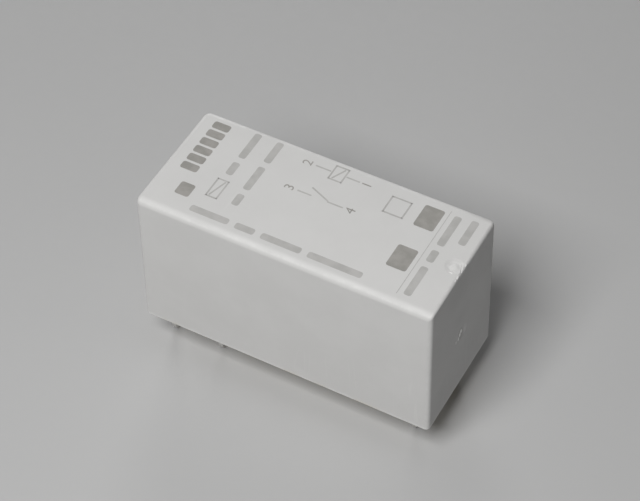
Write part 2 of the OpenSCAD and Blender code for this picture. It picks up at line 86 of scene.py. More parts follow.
MM = 0.001
MICRON = 0.000001
FULL_TURN = 2 * math.pi
TINY = 5 * MICRON           # places closer than this count as one
FACING = 0.9                # share of a face's normal along an axis that counts as facing it
SHARP = 1.0                 # radians between two faces that meet in a sharp edge
SOFT_DEGREES = 32           # edges sharper than this are rounded when a piece is softened
FLAT_DEGREES = 1            # faces that meet flatter than this become one
LATHE_STEPS = 56            # parts of a full turn on the lathe
NOISE_MIDDLE = 0.5          # middle of what a noise texture gives
INK = 6 * MICRON            # thickness of the print on the cover
X_AXIS = Vector((1, 0, 0))
Y_AXIS = Vector((0, 1, 0))
Z_AXIS = Vector((0, 0, 1))


# Steps at the bench


class Kind(Enum):
    """What a selection in edit mode holds."""

    VERTS = "VERT"
    EDGES = "EDGE"
    FACES = "FACE"


class Joining(Enum):
    """How a tool's shape changes a piece."""

    WELD = "UNION"
    CUT = "DIFFERENCE"


def deselect_all() -> None:
    """Leaves edit mode and selects nothing."""
    if bpy.context.mode != "OBJECT":
        bpy.ops.object.mode_set(mode="OBJECT")
    bpy.ops.object.select_all(action="DESELECT")


def take(piece: Object) -> Object:
    """Makes a piece the only selected one, and the active one.

    Args:
        piece: the piece.

    Returns:
        The piece.
    """
    deselect_all()
    piece.select_set(True)
    bpy.context.view_layer.objects.active = piece
    return piece


def settle(name: str, scale: Sequence[float] = (1, 1, 1)) -> Object:
    """Names the primitive that was just added and puts its place into its mesh.

    Args:
        name: the piece's name.
        scale: how much the primitive is stretched along its own axes.

    Returns:
        The piece, at the origin.
    """
    piece = bpy.context.object
    piece.name = name
    piece.data.name = name
    piece.scale = scale
    bpy.ops.object.transform_apply(location=True, rotation=True, scale=True)
    return piece


def add_box(name: str, low: Vector, high: Vector, turn: float = 0.0) -> Object:
    """Adds a box between two corners.

    Args:
        name: the piece's name.
        low: lowest corner.
        high: highest corner.
        turn: how far the box is turned about its own upright axis.

    Returns:
        The box.
    """
    deselect_all()
    bpy.ops.mesh.primitive_cube_add(size=1, location=(low + high) / 2, rotation=(0, 0, turn))
    return settle(name, high - low)


def add_rod(name: str, radius: float, start: Vector, end: Vector, sides: int = 48) -> Object:
    """Adds a round rod between two points.

    Args:
        name: the piece's name.
        radius: the rod's radius.
        start: middle of its first end.
        end: middle of its other end.
        sides: number of flats round it.

    Returns:
        The rod.
    """
    way = end - start
    deselect_all()
    bpy.ops.mesh.primitive_cylinder_add(
        vertices=sides,
        radius=radius,
        depth=way.length,
        location=(start + end) / 2,
        rotation=way.to_track_quat("Z", "Y").to_euler(),
    )
    return settle(name)


def add_ball(name: str, centre: Vector, radii: Vector, fine: int, turn: Spot = (0, 0, 0)) -> Object:
    """Adds a ball of even triangles, which may be flattened.

    Args:
        name: the piece's name.
        centre: its middle.
        radii: its radius along each axis.
        fine: how often its triangles are divided.
        turn: how far it is turned about each axis.

    Returns:
        The ball.
    """
    deselect_all()
    bpy.ops.mesh.primitive_ico_sphere_add(
        subdivisions=fine, radius=1, location=centre, rotation=turn
    )
    return settle(name, radii)


class Editing:
    """Edit mode on one piece, for as long as a with block runs."""

    def __init__(self, piece: Object) -> None:
        """Keeps the piece that is to be edited."""
        self.piece = piece

    def __enter__(self) -> Editing:
        """Opens the piece with all of it selected.

        Returns:
            Itself.
        """
        take(self.piece)
        bpy.ops.object.mode_set(mode="EDIT")
        bpy.ops.mesh.select_all(action="SELECT")
        return self

    def __exit__(self, *_: object) -> None:
        """Goes back to object mode."""
        bpy.ops.object.mode_set(mode="OBJECT")

    def pick(self, kind: Kind, test: Callable[..., bool]) -> int:
        """Selects the vertices, edges or faces that a test accepts.

        Args:
            kind: what is selected.
            test: takes one element and says whether it is wanted.

        Returns:
            How many were selected.
        """
        bpy.ops.mesh.select_mode(type=kind.value)
        bpy.ops.mesh.select_all(action="DESELECT")
        mesh = bmesh.from_edit_mesh(self.piece.data)
        chosen = [element for element in getattr(mesh, kind.name.lower()) if test(element)]
        for element in chosen:
            element.select_set(True)
        mesh.select_flush_mode()
        bmesh.update_edit_mesh(self.piece.data)
        return len(chosen)

    def all(self) -> None:
        """Selects the whole mesh."""
        bpy.ops.mesh.select_all(action="SELECT")

    def bevel(self, radius: float, steps: int) -> None:
        """Rounds the selected edges."""
        bpy.ops.mesh.bevel(offset=radius, segments=steps, affect="EDGES", clamp_overlap=True)

    def inset(self, width: float) -> None:
        """Insets the selected faces."""
        bpy.ops.mesh.inset(thickness=width)

    def extrude(self, way: Vector) -> None:
        """Pulls the selection out along a way."""
        bpy.ops.mesh.extrude_region_move(TRANSFORM_OT_translate={"value": way})

    def fatten(self, height: float) -> None:
        """Pulls the selected faces out along their own normals."""
        bpy.ops.mesh.extrude_region_shrink_fatten(TRANSFORM_OT_shrink_fatten={"value": height})

    def resize(self, factors: Sequence[float], centre: Vector) -> None:
        """Scales the selection about a point."""
        bpy.ops.transform.resize(value=factors, center_override=centre)

    def roughen(self, reach: float, seed: int) -> None:
        """Moves the selected vertices a little, each in its own way."""
        bpy.ops.transform.vertex_random(offset=reach, uniform=1.0, seed=seed)

    def spin(self, centre: Vector, axis: Vector, steps: int) -> None:
        """Spins the selection a full turn and closes its seam and poles.

        Args:
            centre: a point on the axis.
            axis: the axis's direction.
            steps: parts of the turn.
        """
        bpy.ops.mesh.spin(steps=steps, angle=FULL_TURN, center=centre, axis=axis)
        self.all()
        self.merge()
        self.face_outwards()

    def slice(self, point: Vector, normal: Vector) -> None:
        """Adds a row of edges where a plane crosses the piece."""
        self.all()
        bpy.ops.mesh.bisect(plane_co=point, plane_no=normal)

    def merge(self, gap: float = TINY / 10) -> None:
        """Merges selected vertices that lie on each other."""
        bpy.ops.mesh.remove_doubles(threshold=gap)

    def face_outwards(self) -> None:
        """Turns all faces outwards."""
        bpy.ops.mesh.normals_make_consistent(inside=False)


def add_path(name: str, points: Sequence[Vector]) -> Object:
    """Draws a line of edges by extruding one vertex from point to point.

    Args:
        name: the piece's name.
        points: the line's points.

    Returns:
        The line as a mesh of edges.
    """
    deselect_all()
    bpy.ops.mesh.primitive_plane_add(size=MM, location=points[0])
    piece = settle(name)
    with Editing(piece) as edit:
        bpy.ops.mesh.merge(type="CENTER")
        bpy.ops.mesh.select_mode(type=Kind.VERTS.value)
        edit.all()
        for here, there in zip(points, points[1:]):
            edit.extrude(there - here)
    return piece


def add_turned(name: str, profile: Sequence[tuple[float, float]], y: float, z: float) -> Object:
    """Turns a profile about an axis along X, as on a lathe.

    Args:
        name: the piece's name.
        profile: pairs of place along X and radius, from pole to pole.
        y: the axis's place across.
        z: the axis's height.

    Returns:
        The turned piece.
    """
    piece = add_path(name, [Vector((x, y, z + radius)) for x, radius in profile])
    with Editing(piece) as edit:
        edit.spin(Vector((0, y, z)), X_AXIS, LATHE_STEPS)
    return piece


def add_tube(name: str, inner: float, outer: float, start: Vector, end: Vector, sides: int) -> Object:
    """Adds a tube by boring a rod through.

    Args:
        name: the piece's name.
        inner: the bore's radius.
        outer: the tube's radius.
        start: middle of its first end.
        end: middle of its other end.
        sides: number of flats round it.

    Returns:
        The tube.
    """
    piece = add_rod(name, outer, start, end, sides)
    along = (end - start).normalized()
    with Editing(piece) as edit:
        edit.pick(Kind.FACES, lambda face: abs(face.normal.dot(along)) > FACING)
        edit.inset(outer - inner)
        bpy.ops.mesh.bridge_edge_loops()
    return piece


def apply_modifier(piece: Object, kind: str, **settings: object) -> Object:
    """Gives a piece one modifier and applies it.

    Args:
        piece: the piece.
        kind: the modifier's type.
        settings: the modifier's values.

    Returns:
        The piece.
    """
    take(piece)
    modifier = piece.modifiers.new(kind.title(), kind)
    for key, value in settings.items():
        setattr(modifier, key, value)
    bpy.ops.object.modifier_apply(modifier=modifier.name)
    return piece


def combine(piece: Object, tool: Object, joining: Joining) -> None:
    """Cuts a tool out of a piece or welds it on, and throws the tool away.

    Args:
        piece: the piece that is kept.
        tool: the shape that is cut out or welded on.
        joining: which of the two is done.
    """
    apply_modifier(piece, "BOOLEAN", object=tool, operation=joining.value, solver="EXACT")
    bpy.data.objects.remove(tool)


def clean(piece: Object) -> None:
    """Merges corners closer than a micron, and takes out those that only divide an edge.

    Args:
        piece: the piece.
    """
    with Editing(piece) as edit:
        edit.merge(MICRON)
        edit.pick(Kind.VERTS, lambda vert: len(vert.link_edges) == 2)
        bpy.ops.mesh.dissolve_verts()


def join(name: str, pieces: Sequence[Object]) -> Object:
    """Joins several meshes into one piece.

    Args:
        name: the joined piece's name.
        pieces: the meshes.

    Returns:
        The joined piece.
    """
    deselect_all()
    for piece in pieces:
        piece.select_set(True)
    bpy.context.view_layer.objects.active = pieces[0]
    bpy.ops.object.join()
    joined = bpy.context.object
    joined.name = name
    joined.data.name = name
    return joined


def shade(piece: Object, degrees: float = 35) -> Object:
    """Shades a piece smooth, with flat faces kept flat.

    Args:
        piece: the piece.
        degrees: edges sharper than this stay sharp.

    Returns:
        The piece.
    """
    take(piece)
    bpy.ops.object.shade_smooth_by_angle(angle=math.radians(degrees))
    return apply_modifier(piece, "WEIGHTED_NORMAL", keep_sharp=True)


def soften(piece: Object, radius: float, steps: int = 3) -> Object:
    """Rounds a piece's sharp edges and shades it.

    Args:
        piece: the piece.
        radius: radius of the rounded edges.
        steps: flats across an edge.

    Returns:
        The piece.
    """
    apply_modifier(
        piece,
        "BEVEL",
        width=radius,
        segments=steps,
        limit_method="ANGLE",
        angle_limit=math.radians(SOFT_DEGREES),
        use_clamp_overlap=True,
    )
    return shade(piece)


def copy_node(node: str, name: str) -> Object:
    """Copies a solid's mesh into a new piece and merges its loose triangles.

    Args:
        node: the solid's name.
        name: the new piece's name.

    Returns:
        The copy, with flat sides as single faces.
    """
    piece = bpy.data.objects.new(name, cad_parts[node].data.copy())
    bpy.context.scene.collection.objects.link(piece)
    piece.data.name = name
    piece.data.materials.clear()
    take(piece)
    bpy.ops.mesh.customdata_custom_splitnormals_clear()
    with Editing(piece) as edit:
        edit.merge()
        bpy.ops.mesh.dissolve_limited(angle_limit=math.radians(FLAT_DEGREES))
    return piece


def copy_piece(piece: Object, shift: Vector) -> Object:
    """Copies a piece, with a mesh of its own, and moves the copy.

    Args:
        piece: the piece.
        shift: how far the copy is moved.

    Returns:
        The copy.
    """
    take(piece)
    bpy.ops.object.duplicate(linked=False)
    copy = bpy.context.object
    with Editing(copy):
        bpy.ops.transform.translate(value=shift)
    return copy


def bending_strip(node: str, rows: int) -> Object:
    """Copies a spring's solid and slices it into level rows, so that it can bend.

    Args:
        node: the solid's name.
        rows: number of rows.

    Returns:
        The strip.
    """
    piece = copy_node(node, node + "_piece")
    low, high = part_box(node)
    with Editing(piece) as edit:
        for row in range(1, rows):
            height = low.z + (high.z - low.z) * row / rows
            edit.slice(Vector((0, 0, height)), Z_AXIS)
    return shade(piece, degrees=30)


@dataclass(frozen=True)
class Lump:
    """A small torn or melted lump of plastic, or the hole that one has left.

    Attributes:
        centre: its middle.
        radii: its radius along each axis.
        turn: how far it is turned about each axis.
        rough: how far its surface is broken up.
        fine: how often its triangles are divided.
        seed: what the breaking-up starts from.
    """

    centre: Vector
    radii: Vector
    turn: tuple[float, float, float] = (0, 0, 0)
    rough: float = 8 * MICRON
    fine: int = 3
    seed: int = 11

    def add_to(self, piece: Object, joining: Joining) -> None:
        """Welds the lump onto a piece, or cuts it out.

        Args:
            piece: the piece.
            joining: which of the two is done.
        """
        ball = add_ball("lump", self.centre, self.radii, self.fine, self.turn)
        with Editing(ball) as edit:
            edit.roughen(self.rough, self.seed)
        combine(piece, ball, joining)


# Effects that several finishes share


class Board:
    """The nodes of one material or node group."""

    MIX_COLOURS = (6, 7)            # the Mix node's sockets for its two colours
    MIX_RESULT = 2                  # and for the mixed one

    def __init__(self, tree: bpy.types.NodeTree) -> None:
        """Starts with an empty tree."""
        self.tree = tree
        self.tree.nodes.clear()

    def add(
        self, kind: str, values: dict[str, object] | None = None, **settings: object
    ) -> bpy.types.Node:
        """Adds a node.

        Args:
            kind: the node's type, without the prefix of shader nodes.
            values: constants and links for its input sockets, by name.
            settings: its own properties.

        Returns:
            The node.
        """
        node = self.tree.nodes.new(kind if kind.startswith("Node") else "ShaderNode" + kind)
        for key, value in settings.items():
            setattr(node, key, value)
        for key, value in (values or {}).items():
            self.feed(node.inputs[key], value)
        return node

    def feed(self, socket: Socket, value: object) -> None:
        """Links a socket to another one, or sets its constant.

        Args:
            socket: the input socket.
            value: a constant, or the socket to link.
        """
        if isinstance(value, Socket):
            self.tree.links.new(value, socket)
        else:
            socket.default_value = value

    def work_out(self, kind: str, operation: str, first: object, second: object) -> Sockets:
        """Adds a node that works out a sum.

        Args:
            kind: Math or VectorMath.
            operation: the sum to do.
            first: a constant or socket.
            second: a constant or socket.

        Returns:
            The node's outputs.
        """
        node = self.add(kind, operation=operation)
        self.feed(node.inputs[0], first)
        self.feed(node.inputs[1], second)
        return node.outputs

    def math(self, operation: str, first: object, second: object = 0.0) -> Socket:
        """Works out one number from two."""
        return self.work_out("Math", operation, first, second)["Value"]

    def vector(self, operation: str, first: object, second: object = (0, 0, 0)) -> Socket:
        """Works out one vector from two, or the length of one."""
        results = self.work_out("VectorMath", operation, first, second)
        return results["Value" if operation == "LENGTH" else "Vector"]

    def ramp(
        self, value: object, low: float, high: float, to_low: float = 0.0, to_high: float = 1.0
    ) -> Socket:
        """Maps a range of values smoothly onto another.

        Args:
            value: the socket to read.
            low: value that gives to_low.
            high: value that gives to_high.
            to_low: first end of the result.
            to_high: other end of the result.

        Returns:
            The socket with the result.
        """
        node = self.add(
            "MapRange",
            {
                "Value": value,
                "From Min": low,
                "From Max": high,
                "To Min": to_low,
                "To Max": to_high,
            },
            interpolation_type="SMOOTHSTEP",
        )
        return node.outputs["Result"]

    def fade(self, value: object, low: float, high: float) -> Socket:
        """Falls smoothly from 1 to 0 between two values."""
        return self.ramp(value, low, high, 1.0, 0.0)

    def noise(self, vector: object, scale: object, detail: float = 2.0, rough: float = 0.5) -> Socket:
        """Adds a noise texture.

        Args:
            vector: the coordinates.
            scale: its scale.
            detail: its octaves.
            rough: its roughness.

        Returns:
            The socket with its value.
        """
        node = self.add(
            "TexNoise", {"Vector": vector, "Scale": scale, "Detail": detail, "Roughness": rough}
        )
        return node.outputs["Fac"]

    def cells(self, vector: object, scale: object) -> Socket:
        """Adds a cell texture and gives the distance from each cell's middle."""
        node = self.add("TexVoronoi", {"Vector": vector, "Scale": scale, "Randomness": 1.0})
        return node.outputs["Distance"]

    def mix(self, mask: object, first: object, second: object) -> Socket:
        """Mixes two colours by a mask.

        Args:
            mask: 0 gives the first colour and 1 the second.
            first: a colour or socket.
            second: a colour or socket.

        Returns:
            The socket with the mixed colour.
        """
        node = self.tree.nodes.new("ShaderNodeMix")
        node.data_type = "RGBA"
        self.feed(node.inputs[0], mask)
        for index, colour in zip(self.MIX_COLOURS, (first, second)):
            self.feed(node.inputs[index], colour if isinstance(colour, Socket) else (*colour, 1))
        return node.outputs[self.MIX_RESULT]

    def lay(self, mask: Socket, weight: float, below: object, colour: object) -> Socket:
        """Lays a colour over another where a mask says so, at a given weight."""
        return self.mix(self.math("MULTIPLY", mask, weight), below, colour)


class Effect:
    """A node group that several finishes share."""

    name = ""
    inputs: tuple[tuple[str, str], ...] = ()
    outputs: tuple[str, ...] = ()

    @classmethod
    def group(cls) -> bpy.types.NodeTree:
        """Builds the group once and returns it after that.

        Returns:
            The group.
        """
        tree = bpy.data.node_groups.get(cls.name)
        if tree is None:
            tree = bpy.data.node_groups.new(cls.name, "ShaderNodeTree")
            for label, kind in cls.inputs:
                tree.interface.new_socket(label, in_out="INPUT", socket_type="NodeSocket" + kind)
            for label in cls.outputs:
                tree.interface.new_socket(label, in_out="OUTPUT", socket_type="NodeSocketFloat")
            board = Board(tree)
            ends = board.add("NodeGroupOutput")
            for label, socket in cls.wire(board, board.add("NodeGroupInput").outputs).items():
                board.feed(ends.inputs[label], socket)
        return tree

    @classmethod
    def wire(cls, board: Board, given: Sockets) -> dict[str, Socket]:
        """Lays out the group's nodes and returns its outputs by name."""
        raise NotImplementedError

    @classmethod
    def place(cls, board: Board, values: dict[str, object]) -> Sockets:
        """Puts the group into a material.

        Args:
            board: the material's nodes.
            values: what its inputs take.

        Returns:
            The group's outputs.
        """
        node = board.tree.nodes.new("ShaderNodeGroup")
        node.node_tree = cls.group()
        for key, value in values.items():
            board.feed(node.inputs[key], value)
        return node.outputs


class MouldGrain(Effect):
    """Fine grain of an eroded mould, with slow changes of tone."""

    name = "Mould grain"
    inputs = (("Vector", "Vector"), ("Grain scale", "Float"), ("Tone scale", "Float"))
    outputs = ("Grain", "Tone")
    tones = (0.32, 0.68)            # noise that gives the first tone, and the second

    @classmethod
    def wire(cls, board: Board, given: Sockets) -> dict[str, Socket]:
        """Fine noise for the grain, and broad noise for the tone.

        Args:
            board: the group's nodes.
            given: the group's inputs.

        Returns:
            The group's outputs by name.
        """
        grain = board.noise(given["Vector"], given["Grain scale"], detail=3.0, rough=0.6)
        tone = board.noise(given["Vector"], given["Tone scale"], detail=4.0, rough=0.55)
        return {"Grain": grain, "Tone": board.ramp(tone, *cls.tones)}


class Scuffs(Effect):
    """Sparse hair-fine scratches in two directions, and specks of dust."""

    name = "Scuffs and dust"
    inputs = (("Vector", "Vector"), ("Scale", "Float"), ("Dust scale", "Float"))
    outputs = ("Scratch", "Dust")
    directions = ((0.5, (1.0, 0.06, 0.06)), (-0.9, (0.05, 1.0, 0.08)))      # turn and stretch
    line = (0.0, 0.012)             # a scratch's middle and its edge, off the noise's middle
    dot = (0.05, 0.11)              # a speck's solid part and its edge, from its cell's middle
    patch_share = 0.15              # scale of the patches, as a share of the scratches'
    scratched = (0.58, 0.7)         # noise where scratches begin, and where they show in full
    dusted = (0.5, 0.62)            # and the same for dust

    @classmethod
    def wire(cls, board: Board, given: Sockets) -> dict[str, Socket]:
        """Stretched noise, cut to thin lines, and small cells cut to dots.

        Args:
            board: the group's nodes.
            given: the group's inputs.

        Returns:
            The group's outputs by name.
        """
        lines = []
        for turn, stretch in cls.directions:
            turned = board.add(
                "Mapping",
                {"Vector": given["Vector"], "Rotation": (turn, turn / 2, turn), "Scale": stretch},
            )
            field = board.noise(turned.outputs["Vector"], given["Scale"], rough=0.4)
            off_middle = board.math("ABSOLUTE", board.math("SUBTRACT", field, NOISE_MIDDLE))
            lines.append(board.fade(off_middle, *cls.line))
        patch_scale = board.math("MULTIPLY", given["Scale"], cls.patch_share)
        patches = board.noise(given["Vector"], patch_scale, detail=1.0)
        sparse = board.ramp(patches, *cls.scratched)
        scratch = board.math("MULTIPLY", board.math("MAXIMUM", *lines), sparse)
        dots = board.fade(board.cells(given["Vector"], given["Dust scale"]), *cls.dot)
        shown = board.ramp(patches, *cls.dusted)
        return {"Scratch": scratch, "Dust": board.math("MULTIPLY", dots, shown)}


class BoxEdges(Effect):
    """The band along a box's edges that handling rubs, broken up by noise; paled, it is also a painted
    highlight on the rounded edges.
    """

    name = "Rubbed and highlighted edges"
    inputs = (
        ("Vector", "Vector"),
        ("Centre", "Vector"),
        ("Half size", "Vector"),
        ("Width", "Float"),
        ("Break-up scale", "Float"),
    )
    outputs = ("Rub",)
    band = (0.35, 1.0)              # shares of the width where the band of wear and painted highlight begins to fade, and ends

    @classmethod
    def wire(cls, board: Board, given: Sockets) -> dict[str, Socket]:
        """A point lies near an edge where two of its three distances to the sides are small.

        Args:
            board: the group's nodes.
            given: the group's inputs.

        Returns:
            The group's outputs by name.
        """
        moved = board.vector("SUBTRACT", given["Vector"], given["Centre"])
        depth = board.vector("SUBTRACT", given["Half size"], board.vector("ABSOLUTE", moved))
        x, y, z = board.add("SeparateXYZ", {"Vector": depth}).outputs
        smaller = board.math("MINIMUM", x, y)
        larger = board.math("MAXIMUM", x, y)
        second = board.math("MAXIMUM", smaller, board.math("MINIMUM", larger, z))
        share = board.math("DIVIDE", second, given["Width"])
        wavy = board.noise(given["Vector"], given["Break-up scale"], detail=4.0, rough=0.65)
        near = board.math("SUBTRACT", board.math("ADD", share, wavy), NOISE_MIDDLE)
        return {"Rub": board.fade(near, *cls.band)}


class Blush(Effect):
    """A pale spot round one place on plastic: the blush that tearing or melting leaves, and at the gate
    also a painted highlight on the stub.
    """

    name = "Blushed and highlighted spot"
    inputs = (("Vector", "Vector"), ("Centre", "Vector"), ("Reach", "Vector"))
    outputs = ("Spot",)
    break_up = 3500.0               # scale of the noise that breaks up its outline
    rim = (0.7, 1.15)               # shares of the reach where the spot begins to fade, and ends

    @classmethod
    def wire(cls, board: Board, given: Sockets) -> dict[str, Socket]:
        """Distance from the place, as a share of the spot's reach along each axis.

        Args:
            board: the group's nodes.
            given: the group's inputs.

        Returns:
            The group's outputs by name.
        """
        moved = board.vector("SUBTRACT", given["Vector"], given["Centre"])
        length = board.vector("LENGTH", board.vector("DIVIDE", moved, given["Reach"]))
        wavy = board.noise(given["Vector"], cls.break_up)
        near = board.math("ADD", length, board.math("SUBTRACT", wavy, NOISE_MIDDLE))
        return {"Spot": board.fade(near, *cls.rim)}


class RolledStrip(Effect):
    """Streaks that rolling leaves on sheet metal, and cloudy tarnish."""

    name = "Rolled strip"
    inputs = (
        ("Vector", "Vector"),
        ("Stretch", "Vector"),
        ("Streak scale", "Float"),
        ("Tarnish scale", "Float"),
    )
    outputs = ("Streak", "Tarnish")
    streaks = (0.3, 0.7)            # noise that gives the smoothest streak, and the roughest
    clouds = (0.42, 0.66)           # noise where tarnish begins, and where it is full

    @classmethod
    def wire(cls, board: Board, given: Sockets) -> dict[str, Socket]:
        """Noise drawn out along the rolling direction, and broad noise over it.

        Args:
            board: the group's nodes.
            given: the group's inputs.

        Returns:
            The group's outputs by name.
        """
        drawn = board.vector("MULTIPLY", given["Vector"], given["Stretch"])
        streak = board.noise(drawn, given["Streak scale"], detail=3.0, rough=0.6)
        tarnish = board.noise(given["Vector"], given["Tarnish scale"], detail=5.0, rough=0.6)
        return {
            "Streak": board.ramp(streak, *cls.streaks),
            "Tarnish": board.ramp(tarnish, *cls.clouds),
        }


# Finishes


@dataclass(frozen=True)
class Finish:
    """A finish: two colours that its surface wanders between, and a range of roughness.

    Attributes:
        name: the material's name.
        colour: its main colour, linear.
        second: the colour of its patches.
        rough: lowest and highest roughness.
        metallic: 1 for bare metal.
        coat: weight of a clear layer on top.
        coat_rough: that layer's roughness.
        relief: height of its bumps.
        scuff_scale: scale of its scratches.
        dust_scale: scale of the dust on it.
    """

    name: str
    colour: Colour
    second: Colour
    rough: tuple[float, float]
    metallic: float = 0.0
    coat: float = 0.0
    coat_rough: float = 0.08
    relief: float = 2 * MICRON
    scuff_scale: float = 900.0
    dust_scale: float = 1600.0

    def material(self) -> bpy.types.Material:
        """Builds the material once and returns it after that.

        Returns:
            The material.
        """
        made = bpy.data.materials.get(self.name)
        if made is None:
            made = bpy.data.materials.new(self.name)
            made.use_nodes = True
            board = Board(made.node_tree)
            shader = board.add("BsdfPrincipled", {"Metallic": self.metallic, "Coat Weight": self.coat})
            board.feed(shader.inputs["Coat Roughness"], self.coat_rough)
            board.add("OutputMaterial", {"Surface": shader.outputs["BSDF"]})
            colour, rough, height = self.wire(board, board.add("TexCoord").outputs["Object"])
            bump = board.add("Bump", {"Height": height, "Distance": self.relief, "Strength": 1.0})
            board.feed(shader.inputs["Base Color"], colour)
            board.feed(shader.inputs["Roughness"], rough)
            board.feed(shader.inputs["Normal"], bump.outputs["Normal"])
        return made

    def wire(self, board: Board, place: Socket) -> tuple[Socket, ...]:
        """Lays out the nodes and returns the sockets for colour, roughness and height."""
        raise NotImplementedError

    def scuffs(self, board: Board, place: Socket) -> Sockets:
        """Places scratches and dust in the material."""
        scales = {"Scale": self.scuff_scale, "Dust scale": self.dust_scale}
        return Scuffs.place(board, {"Vector": place, **scales})


@dataclass(frozen=True)
class Grained(Finish):
    """A finish with fine grain, and with slow changes between its two colours."""

    grain_scale: float = 5000.0
    tone_scale: float = 260.0
    grain_range: tuple[float, float] = (0.3, 0.7)       # what most of the grain lies between

    def grain(self, board: Board, place: Socket) -> Sockets:
        """Places the grain and the changes of tone in the material."""
        scales = {"Grain scale": self.grain_scale, "Tone scale": self.tone_scale}
        return MouldGrain.place(board, {"Vector": place, **scales})


@dataclass(frozen=True)
class MouldedPlastic(Grained):
    """Moulded plastic with the mould's fine grain."""

    scratch_weight: float = 0.3
    paling: float = 1.25            # how many times paler than the plastic a scratch is
    paling_lift: float = 0.03       # and how much is added to that

    def wire(self, board: Board, place: Socket) -> tuple[Socket, ...]:
        """Tone and grain of the mould, with a few pale scratches.

        Args:
            board: the material's nodes.
            place: the coordinates.

        Returns:
            The sockets for colour, roughness and height.
        """
        mould = self.grain(board, place)
        scratch = self.scuffs(board, place)["Scratch"]
        toned = board.mix(mould["Tone"], self.colour, self.second)
        pale = tuple(min(1.0, self.paling * part + self.paling_lift) for part in self.colour)
        marked = board.lay(scratch, self.scratch_weight, toned, pale)
        return marked, board.ramp(mould["Tone"], 0.0, 1.0, *self.rough), mould["Grain"]


@dataclass(frozen=True)
class CoverPlastic(Grained):
    """The cover's light grey plastic: satin, paler at its edges, at its vent and at its gate; along the
    edges the paleness is wear and a painted highlight, and at the gate it is blush and a painted
    highlight.
    """

    grain_scale: float = 4200.0
    tone_scale: float = 190.0
    scuff_scale: float = 700.0
    scratch_weight: float = 0.22
    scratch_height: float = -0.4
    dust: Colour = (0.35, 0.34, 0.32)
    dust_scale: float = 900.0
    dust_weight: float = 0.1
    # paler colour of worn edges and scratches; along the rounded edges it is also a painted highlight
    rubbed: Colour = (0.71, 0.705, 0.692)
    rub_weight: float = 0.7
    rub_rough: float = -0.06        # what rubbing adds to the roughness
    edge_width: float = 0.45 * MM
    edge_scale: float = 1400.0
    nick_scale: float = 2600.0
    smeared: Colour = (0.56, 0.53, 0.46)
    smear_low: float = 0.3 * MM
    smear_high: float = 0.9 * MM
    smear_scale: float = 330.0
    smear_patch: tuple[float, float] = (0.46, 0.62)     # noise where a smear begins, and is full
    smear_weight: float = 0.6
    # pale colour of torn and melted plastic; at the gate it is also a painted highlight on the torn stub
    torn: Colour = (0.92, 0.915, 0.9)
    melts: tuple[Lump, ...] = ()
    melt_weight: float = 0.2
    tears: tuple[Lump, ...] = ()
    tear_weight: float = 0.95
    spot_reach: float = 1.25

    def wire(self, board: Board, place: Socket) -> tuple[Socket, ...]:
        """Tone of the mould, and over it worn edges with a painted highlight, scratches, dust, smears
        and pale spots (blush, and at the gate also a painted highlight).

        Args:
            board: the material's nodes.
            place: the coordinates.

        Returns:
            The sockets for colour, roughness and height.
        """
        low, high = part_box("cover")
        mould = self.grain(board, place)
        scuffs = self.scuffs(board, place)
        edges = BoxEdges.place(
            board,
            {
                "Vector": place,
                "Centre": (low + high) / 2,
                "Half size": (high - low) / 2,
                "Width": self.edge_width,
                "Break-up scale": self.edge_scale,
            },
        )
        colour = board.mix(mould["Tone"], self.colour, self.second)
        # paler edge band: wear, and a painted highlight along the rounded edges
        colour = board.lay(edges["Rub"], self.rub_weight, colour, self.rubbed)
        colour = board.lay(scuffs["Scratch"], self.scratch_weight, colour, self.rubbed)
        colour = board.lay(scuffs["Dust"], self.dust_weight, colour, self.dust)
        colour = board.mix(self.smears(board, place), colour, self.smeared)
        # pale spots at the nib and the gate; at the gate they are also a painted highlight
        for lumps, weight in ((self.melts, self.melt_weight), (self.tears, self.tear_weight)):
            for lump in lumps:
                reach = lump.radii * self.spot_reach
                spots = Blush.place(board, {"Vector": place, "Centre": lump.centre, "Reach": reach})
                colour = board.lay(spots["Spot"], weight, colour, self.torn)
        worn = board.math("MULTIPLY", edges["Rub"], self.rub_rough)
        rough = board.math("ADD", board.ramp(mould["Tone"], 0.0, 1.0, *self.rough), worn)
        bumps = board.noise(place, self.nick_scale, detail=3.0, rough=0.7)
        nicks = board.math("MULTIPLY", edges["Rub"], bumps)
        scratches = board.math("MULTIPLY", scuffs["Scratch"], self.scratch_height)
        dents = board.math("ADD", nicks, scratches)
        return colour, rough, board.math("ADD", mould["Grain"], dents)

    def smears(self, board: Board, place: Socket) -> Socket:
        """Finds where a film of resin has crept up from the rim.

        Args:
            board: the material's nodes.
            place: the coordinates.

        Returns:
            The socket with the film's mask.
        """
        height = board.add("SeparateXYZ", {"Vector": place}).outputs["Z"]
        low = board.fade(height, self.smear_low, self.smear_high)
        cloudy = board.noise(place, self.smear_scale, detail=3.0, rough=0.6)
        patches = board.ramp(cloudy, *self.smear_patch, to_high=self.smear_weight)
        return board.math("MULTIPLY", low, patches)


@dataclass(frozen=True)
class Paper(Grained):
    """A plain sheet with hardly any tooth."""

    grain_scale: float = 900.0
    tone_scale: float = 9.0

    def wire(self, board: Board, place: Socket) -> tuple[Socket, ...]:
        """Slow changes of tone, and a fine tooth.

        Args:
            board: the material's nodes.
            place: the coordinates.

        Returns:
            The sockets for colour, roughness and height.
        """
        mould = self.grain(board, place)
        colour = board.mix(mould["Tone"], self.colour, self.second)
        return colour, board.ramp(mould["Grain"], *self.grain_range, *self.rough), mould["Grain"]


